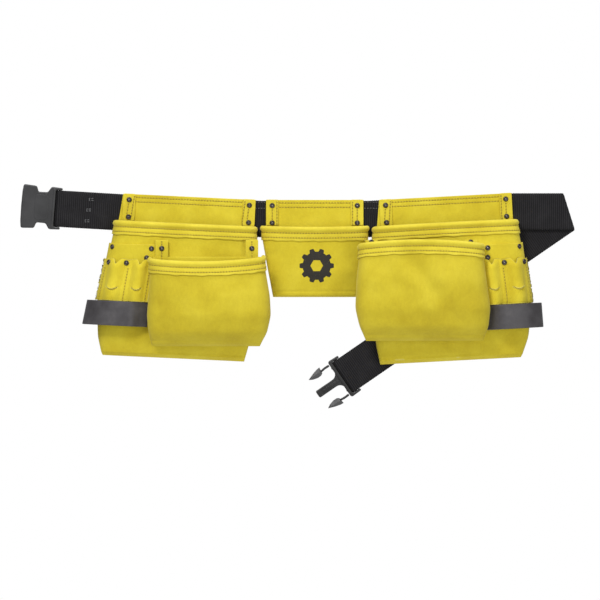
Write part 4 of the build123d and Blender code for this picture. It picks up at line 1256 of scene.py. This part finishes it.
def folded_tail():
    """Middle surface of the right end: the strap is bent over a slanted fold and comes back behind."""
    fold_axis = np.array(JOINTS["tail_fold"]["axis"])
    fold_line = np.array([fold_axis[0], fold_axis[2]])
    outward = np.array([-fold_line[1], fold_line[0]])
    outward *= np.sign(outward[0])
    tail_middle = (tail_low.y + tail_high.y) / MM / 2
    radius = (tail_middle - WEB_MIDDLE) / 2
    adjust = np.array(JOINTS["belt_adjust"]["axis"])
    tail_toward = -np.array([adjust[0], adjust[2]])
    mirrored = 2 * fold_line[0] * fold_line - np.array([1.0, 0.0])
    handed = np.sign(outward[0] * fold_line[1] - outward[1] * fold_line[0])
    tail_turn = handed * (math.atan2(tail_toward[1], tail_toward[0])
                          - math.atan2(mirrored[1], mirrored[0]))
    mid = np.array([fold_place[0], fold_place[2]])
    reach = np.array([right_turn[0], right_turn[2]])
    length = mid[0] - reach[0] + TAIL_LENGTH
    run = np.linspace(-OVERLAP - 1.0, length, int((length + OVERLAP) / WEB_CELL))
    widths = np.linspace(*WEB_EDGES, 27)
    slope = math.atan2(right_toward[2], right_toward[0])
    settle = 1 / (1 + np.exp(run / 2.0))
    angle = slope * settle
    centre_x = reach[0] + run * np.cos(slope * (run < 0))
    centre_z = reach[1] + np.where(run < 0, run * math.sin(slope), 0.0)
    x = centre_x[:, None] - widths[None, :] * np.sin(angle)[:, None]
    z = centre_z[:, None] + widths[None, :] * np.cos(angle)[:, None]
    beyond = (x - mid[0]) * outward[0] + (z - mid[1]) * outward[1]
    on_line = (x - mid[0]) * fold_line[0] + (z - mid[1]) * fold_line[1]
    start = -math.pi * radius / 2
    round_run = np.clip(beyond - start, 0, math.pi * radius)
    past = np.maximum(beyond - start - math.pi * radius, 0)
    turned = round_run / radius
    across_fold = np.where(beyond < start, beyond, start + radius * np.sin(turned) - past)
    depth = WEB_MIDDLE + radius * (1 - np.cos(turned))
    twist = tail_turn * np.clip((beyond - start) / (math.pi * radius), 0, 1)
    u, v = across_fold * np.cos(twist), across_fold * np.sin(twist)
    line_u, line_v = -on_line * np.sin(twist), on_line * np.cos(twist)
    normal_part, line_part = u + line_u, v + line_v
    flat_x = mid[0] + normal_part * outward[0] + line_part * fold_line[0]
    flat_z = mid[1] + normal_part * outward[1] + line_part * fold_line[1]
    return np.stack([flat_x, depth, flat_z], 2), run


tail_surface, tail_run = folded_tail()
tail = webbing("webbing_folded_tail", tail_surface, tail_run)
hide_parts("webbing_right_end", "webbing_tail")
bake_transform(tail)

plug_bar = joint_at("plug_pivot")
carrier_low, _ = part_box("webbing_adjuster")
plug_toward = -np.array(JOINTS["belt_adjust"]["axis"])
carrier_middle = carrier_low.y / MM + 0.8
carrier_start = np.array([plug_bar[0], carrier_middle, plug_bar[2]]) - plug_toward * CARRIER_LENGTH
adjuster = looped_end("webbing_adjuster_strap", carrier_start, plug_bar, plug_bar[1] - carrier_middle,
                      1.95, 62.0)
place_piece(adjuster, "adjuster", "webbing", "webbing_adjuster")


# ---------------------------------------------------------------- buckle
BAR_RADIUS = 1.6
BAR_SIDES = 28
SLOT_HALF = HALF_WEB + 0.15
RAIL_HALF = HALF_WEB + 3.1
SLOT_WALL = 3.8            # the loop of webbing round a bar almost touches the slot's wall


class Seat:
    """A moulding's plane: u points from the strap's side to the far end, v along the web bar, w forward."""

    def __init__(self, origin, axis):
        self.origin = np.array(origin)
        self.v = np.array([axis[0], 0.0, axis[2]])
        self.u = np.array([axis[2], 0.0, -axis[0]])

    def world(self, points):
        points = np.asarray(points, float)
        return (self.origin + points[:, :1] * self.u + points[:, 1:2] * self.v + points[:, 2:3] * FRONT)


def rounded(points, radius, steps=5):
    """A closed outline with its corners rounded off."""
    points = np.array(points, float)
    outline = []
    for index, corner in enumerate(points):
        before, after = points[index - 1], points[(index + 1) % len(points)]
        cut = min(radius, 0.45 * np.linalg.norm(before - corner), 0.45 * np.linalg.norm(after - corner))
        start = corner + (before - corner) / np.linalg.norm(before - corner) * cut
        end = corner + (after - corner) / np.linalg.norm(after - corner) * cut
        for step in np.linspace(0, 1, steps):
            outline.append(start * (1 - step) ** 2 + corner * 2 * step * (1 - step) + end * step ** 2)
    return np.array(outline)


def moulding(name, outline, thick, rounding, seat, forward=0.0):
    """Flat moulding of a given thickness with rounded edges, laid on its seat."""
    curve = bpy.data.curves.new(name, "CURVE")
    curve.dimensions = "2D"
    curve.fill_mode = "BOTH"
    curve.extrude = (thick / 2 - rounding) * MM
    curve.bevel_depth = rounding * MM
    curve.bevel_resolution = 3
    curve.offset = -rounding * MM
    spline = curve.splines.new("POLY")
    spline.points.add(len(outline) - 1)
    for point, (u, v) in zip(spline.points, outline):
        point.co = (u * MM, v * MM, 0.0, 1.0)
    spline.use_cyclic_u = True
    drawn = bpy.data.objects.new(name, curve)
    bpy.context.scene.collection.objects.link(drawn)
    mesh = bpy.data.meshes.new_from_object(drawn.evaluated_get(bpy.context.evaluated_depsgraph_get()))
    bpy.data.objects.remove(drawn)
    flat = np.zeros(len(mesh.vertices) * 3)
    mesh.vertices.foreach_get("co", flat)
    points = flat.reshape(-1, 3) / MM + [0.0, 0.0, forward]
    mesh.vertices.foreach_set("co", (seat.world(points) * MM).ravel())
    work = bmesh.new()
    work.from_mesh(mesh)
    bmesh.ops.remove_doubles(work, verts=work.verts, dist=0.00001)
    bmesh.ops.recalc_face_normals(work, faces=work.faces)
    work.to_mesh(mesh)
    work.free()
    mesh.polygons.foreach_set("use_smooth", [True] * len(mesh.polygons))
    obj = bpy.data.objects.new(name, mesh)
    bpy.context.scene.collection.objects.link(obj)
    return obj


def even_shading(obj, material):
    """One plastic all over, and the flat faces of a moulding flat in the light."""
    obj.data.materials.clear()
    obj.data.materials.append(material)
    weighting = obj.modifiers.new("weighting", "WEIGHTED_NORMAL")
    weighting.weight = 90
    return apply_modifiers(obj)


def web_bar(name, seat):
    """Round bar that the webbing goes round, from one side of the slot to the other."""
    angles = np.linspace(0, 2 * math.pi, BAR_SIDES + 1)[:-1]
    half_length = SLOT_HALF + 0.8
    rings = [np.stack([BAR_RADIUS * np.cos(angles), np.full(BAR_SIDES, v), BAR_RADIUS * np.sin(angles)], 1)
             for v in (-half_length, half_length)]
    faces = [(side, (side + 1) % BAR_SIDES, BAR_SIDES + (side + 1) % BAR_SIDES, BAR_SIDES + side)
             for side in range(BAR_SIDES)]
    obj = new_object(name, seat.world(np.concatenate(rings)), faces, PLASTIC)
    face_outward(obj)
    return obj


def mirrored(points):
    """A half outline and its mirror image across the middle."""
    return points + [(u, -v) for u, v in reversed(points)]


def slab(name, seat, corners, radius, thick, rounding, forward=0.0):
    """Symmetrical moulding with rounded corners."""
    return moulding(name, rounded(mirrored(corners), radius), thick, rounding, seat, forward)


def socket_piece():
    """Female half: rounded body with waisted sides, a dark mouth, a web bar and a rib beside it."""
    seat = Seat(socket_bar, JOINTS["socket_pivot"]["axis"])
    mouth, waist = -38.6, RAIL_HALF - 6.0
    outer = [(BAR_RADIUS + 1.0, RAIL_HALF - 0.6), (-8.6, RAIL_HALF), (-12.2, waist), (-22.2, waist - 0.2),
             (-24.2, RAIL_HALF - 0.2), (mouth + 1.0, RAIL_HALF + 0.7)]
    lower = [(u, -v) for u, v in reversed(outer)]
    slot = [(BAR_RADIUS + 1.0, -SLOT_HALF), (-SLOT_WALL, -SLOT_HALF), (-SLOT_WALL, SLOT_HALF),
            (BAR_RADIUS + 1.0, SLOT_HALF)]
    face = [(mouth, 16.0), (mouth - 0.3, 0.0), (mouth, -16.0)]
    body = moulding("socket_body", rounded(outer + face + lower + slot, 1.9), 9.0, 1.1, seat)
    hollow = slab("socket_hollow", seat, [(mouth - 5, 20.0), (mouth + 28.0, 14.4)], 1.0, 5.4, 0.5)
    cut = body.modifiers.new("mouth", "BOOLEAN")
    cut.operation = "DIFFERENCE"
    cut.object = hollow
    cut.solver = "EXACT"
    apply_modifiers(body)
    bpy.data.objects.remove(hollow)
    rib = slab("socket_rib", seat,
               [(-SLOT_WALL - 0.2, SLOT_HALF + 1.2), (-SLOT_WALL - 3.0, SLOT_HALF + 1.2)], 1.2, 9.9, 0.9)
    lip = slab("socket_lip", seat, [(mouth + 0.6, RAIL_HALF - 0.7), (mouth + 2.9, RAIL_HALF - 0.9)],
               1.0, 9.5, 0.6)
    pad = slab("socket_pad", seat, [(-24.8, RAIL_HALF - 9.0), (-10.6, RAIL_HALF - 9.0)], 4.0, 9.5, 0.3)
    bar = web_bar("socket_bar", seat)
    sill = slab("socket_sill", seat, [(-2.3, SLOT_HALF + 0.6), (-6.0, SLOT_HALF + 0.6)],
                0.3, 1.0, 0.2, -3.95)
    piece = even_shading(joined("socket_moulding", [body, rib, lip, pad, sill, bar]), PLASTIC)
    place_piece(piece, "socket", "buckle", "buckle_socket")


def blade(name, outline, ridge, edge, height, seat):
    """Faceted head: a flat-edged outline that rises on both faces to a ridge."""
    outline, (start, end) = np.array(outline, float), np.array(ridge, float)
    run = (end - start) / np.linalg.norm(end - start)
    along = np.clip((outline - start) @ run, 0, np.linalg.norm(end - start))
    crest = start + along[:, None] * run
    count = len(outline)
    rings = [np.column_stack([ring, np.full(count, w)])
             for ring, w in ((crest, height), (outline, edge), (outline, -edge), (crest, -height))]
    faces = [(ring * count + i, ring * count + (i + 1) % count, (ring + 1) * count + (i + 1) % count,
              (ring + 1) * count + i) for ring in range(3) for i in range(count)]
    obj = new_object(name, seat.world(np.concatenate(rings)), faces, PLUG_PLASTIC)
    face_outward(obj)
    obj.data.polygons.foreach_set("use_smooth", [False] * len(obj.data.polygons))
    return soften(obj, 0.3, 2, 20.0)


def plug_pieces():
    """Male half: slotted frame with its guide, and two springy arms with faceted heads."""
    axis = np.array(JOINTS["plug_pivot"]["axis"])
    axis = -axis * np.sign(axis[2])
    seat = Seat(plug_bar, axis)
    front_edge, back_edge = 7.6, -5.2
    shell = [(back_edge, RAIL_HALF - 0.4), (front_edge - 1.4, RAIL_HALF), (front_edge, RAIL_HALF - 1.6)]
    lower = [(u, -v) for u, v in reversed(shell)]
    slot = [(back_edge, -SLOT_HALF), (SLOT_WALL, -SLOT_HALF), (SLOT_WALL, SLOT_HALF), (back_edge, SLOT_HALF)]
    body = moulding("plug_body", rounded(shell + lower + slot, 1.5), 6.4, 1.1, seat)
    guide_half, gap_middle, gap_radius = 4.1, 10.6, 6.5
    turns = np.radians(np.linspace(52, 180, 18))
    gap = [(front_edge + 6.2 - gap_radius * math.sin(turn), gap_middle + gap_radius * math.cos(turn))
           for turn in turns]
    end = front_edge + 27.5
    half = [(front_edge - 2.0, 15.8), (front_edge + 0.1, gap[0][1] + 0.4), *gap[1:],
            (front_edge + 9.0, guide_half - 0.1), (end - 0.9, guide_half), (end, guide_half - 1.3)]
    guide = moulding("plug_guide", np.array(mirrored(half)), 3.9, 0.7, seat)
    rib = slab("plug_rib", seat, [(front_edge + 0.6, 1.5), (end - 7.0, 1.2)], 1.0, 4.9, 0.4)
    tip = slab("plug_tip", seat, [(end - 5.6, guide_half - 0.5), (end - 0.8, guide_half - 0.6)],
               0.8, 4.9, 0.5)
    bar = web_bar("plug_bar", seat)
    sill = slab("plug_sill", seat, [(3.15, SLOT_HALF + 0.6), (6.5, SLOT_HALF + 0.6)], 0.3, 0.8, 0.2, -2.8)
    frame_piece = even_shading(joined("plug_moulding", [body, guide, rib, tip, sill, bar]), PLUG_PLASTIC)
    place_piece(frame_piece, "plug", "buckle", "plug_frame")
    root = RAIL_HALF - 3.9
    for body_name, node, hand in (("upper_arm", "latch_arm_upper", -1), ("lower_arm", "latch_arm_lower", 1)):
        bow = [(front_edge + 0.5, root - 1.2), (front_edge + 6.0, root - 0.9), (front_edge + 12.5, root - 1.7),
               (front_edge + 12.5, root + 0.6), (front_edge + 6.0, root + 1.4), (front_edge + 0.5, root + 1.2)]
        stem = moulding(f"{node}_stem", rounded([(u, hand * v) for u, v in bow], 1.2), 3.9, 0.8, seat)
        head = [(10.0, RAIL_HALF + 0.2), (13.0, RAIL_HALF + 0.1), (18.5, RAIL_HALF - 1.3), (23.0, RAIL_HALF - 2.9),
                (26.6, RAIL_HALF - 4.3), (22.5, RAIL_HALF - 6.6), (17.5, RAIL_HALF - 8.0), (13.2, RAIL_HALF - 7.9),
                (10.8, RAIL_HALF - 6.6)]
        outline = [(front_edge + u, hand * v) for u, v in head]
        ridge = ((front_edge + 12.0, hand * (RAIL_HALF - 3.7)),
                 (front_edge + 24.5, hand * (RAIL_HALF - 4.2)))
        arrow = blade(f"{node}_head", outline, ridge, 1.5, 2.5, seat)
        arm = joined(f"{node}_moulding", [even_shading(stem, PLUG_PLASTIC), arrow])
        place_piece(arm, body_name, "buckle", node)


socket_piece()
plug_pieces()


# ---------------------------------------------------------------- stage, light and camera
def area_light(name, place, aim, size, power):
    lamp = bpy.data.lights.new(name, "AREA")
    lamp.shape = "DISK"
    lamp.size = size
    lamp.energy = power
    obj = bpy.data.objects.new(name, lamp)
    obj.location = place
    obj.rotation_euler = (Vector(aim) - Vector(place)).to_track_quat("-Z", "Y").to_euler()
    bpy.context.scene.collection.objects.link(obj)


def white_world(seen, lit):
    """White all round: `seen` is the backdrop's brightness, and `lit` how much of it lights the belt."""
    world = bpy.data.worlds.new("studio")
    bpy.context.scene.world = world
    world.use_nodes = True
    tree = world.node_tree
    background = tree.nodes["Background"]
    background.inputs["Color"].default_value = (1.0, 1.0, 1.0, 1.0)
    camera_ray = tree.nodes.new("ShaderNodeLightPath").outputs["Is Camera Ray"]
    tree.links.new(ramp_value(tree, camera_ray, 0.0, 1.0, lit, seen), background.inputs["Strength"])


white_world(1.0, 0.36)
area_light("key", (-0.8, -1.9, 1.5), (0.0, 0.0, -0.08), 0.7, 39.0)
area_light("top", (0.25, -0.45, 1.9), (0.0, 0.0, -0.1), 0.8, 16.0)
area_light("fill", (1.1, -2.0, -0.25), (0.05, 0.0, -0.1), 1.4, 13.5)

FLOOR_DEPTH = 0.34         # below the belt, so that no shadow of it is seen
low, high = cad_box
middle = (Vector(low) + Vector(high)) / 2
bpy.ops.mesh.primitive_circle_add(vertices=96, radius=0.6, fill_type="NGON",
                                  location=(middle.x, middle.y, low[2] - FLOOR_DEPTH))
floor = bpy.context.object
floor.name = "studio_floor"
paper, _, paper_shader = new_material("floor_paper")
paper_shader.inputs["Base Color"].default_value = (0.93, 0.93, 0.93, 1.0)
paper_shader.inputs["Roughness"].default_value = 0.9
floor.data.materials.append(paper)

VIEW_WIDTH = 0.624         # of the picture, at the belt
LENS = 260.0
SENSOR = 36.0
aim = Vector((-0.0153, 0.0, -0.0842))
camera_data = bpy.data.cameras.new("camera")
camera_data.lens = LENS
camera_data.sensor_width = SENSOR
camera_data.clip_end = 50.0
camera = bpy.data.objects.new("camera", camera_data)
camera.location = aim + Vector((0.0, -VIEW_WIDTH * LENS / SENSOR, 0.0))
camera.rotation_euler = (math.pi / 2, 0.0, 0.0)
bpy.context.scene.collection.objects.link(camera)
bpy.context.scene.camera = camera
bpy.context.scene.view_settings.view_transform = "Standard"
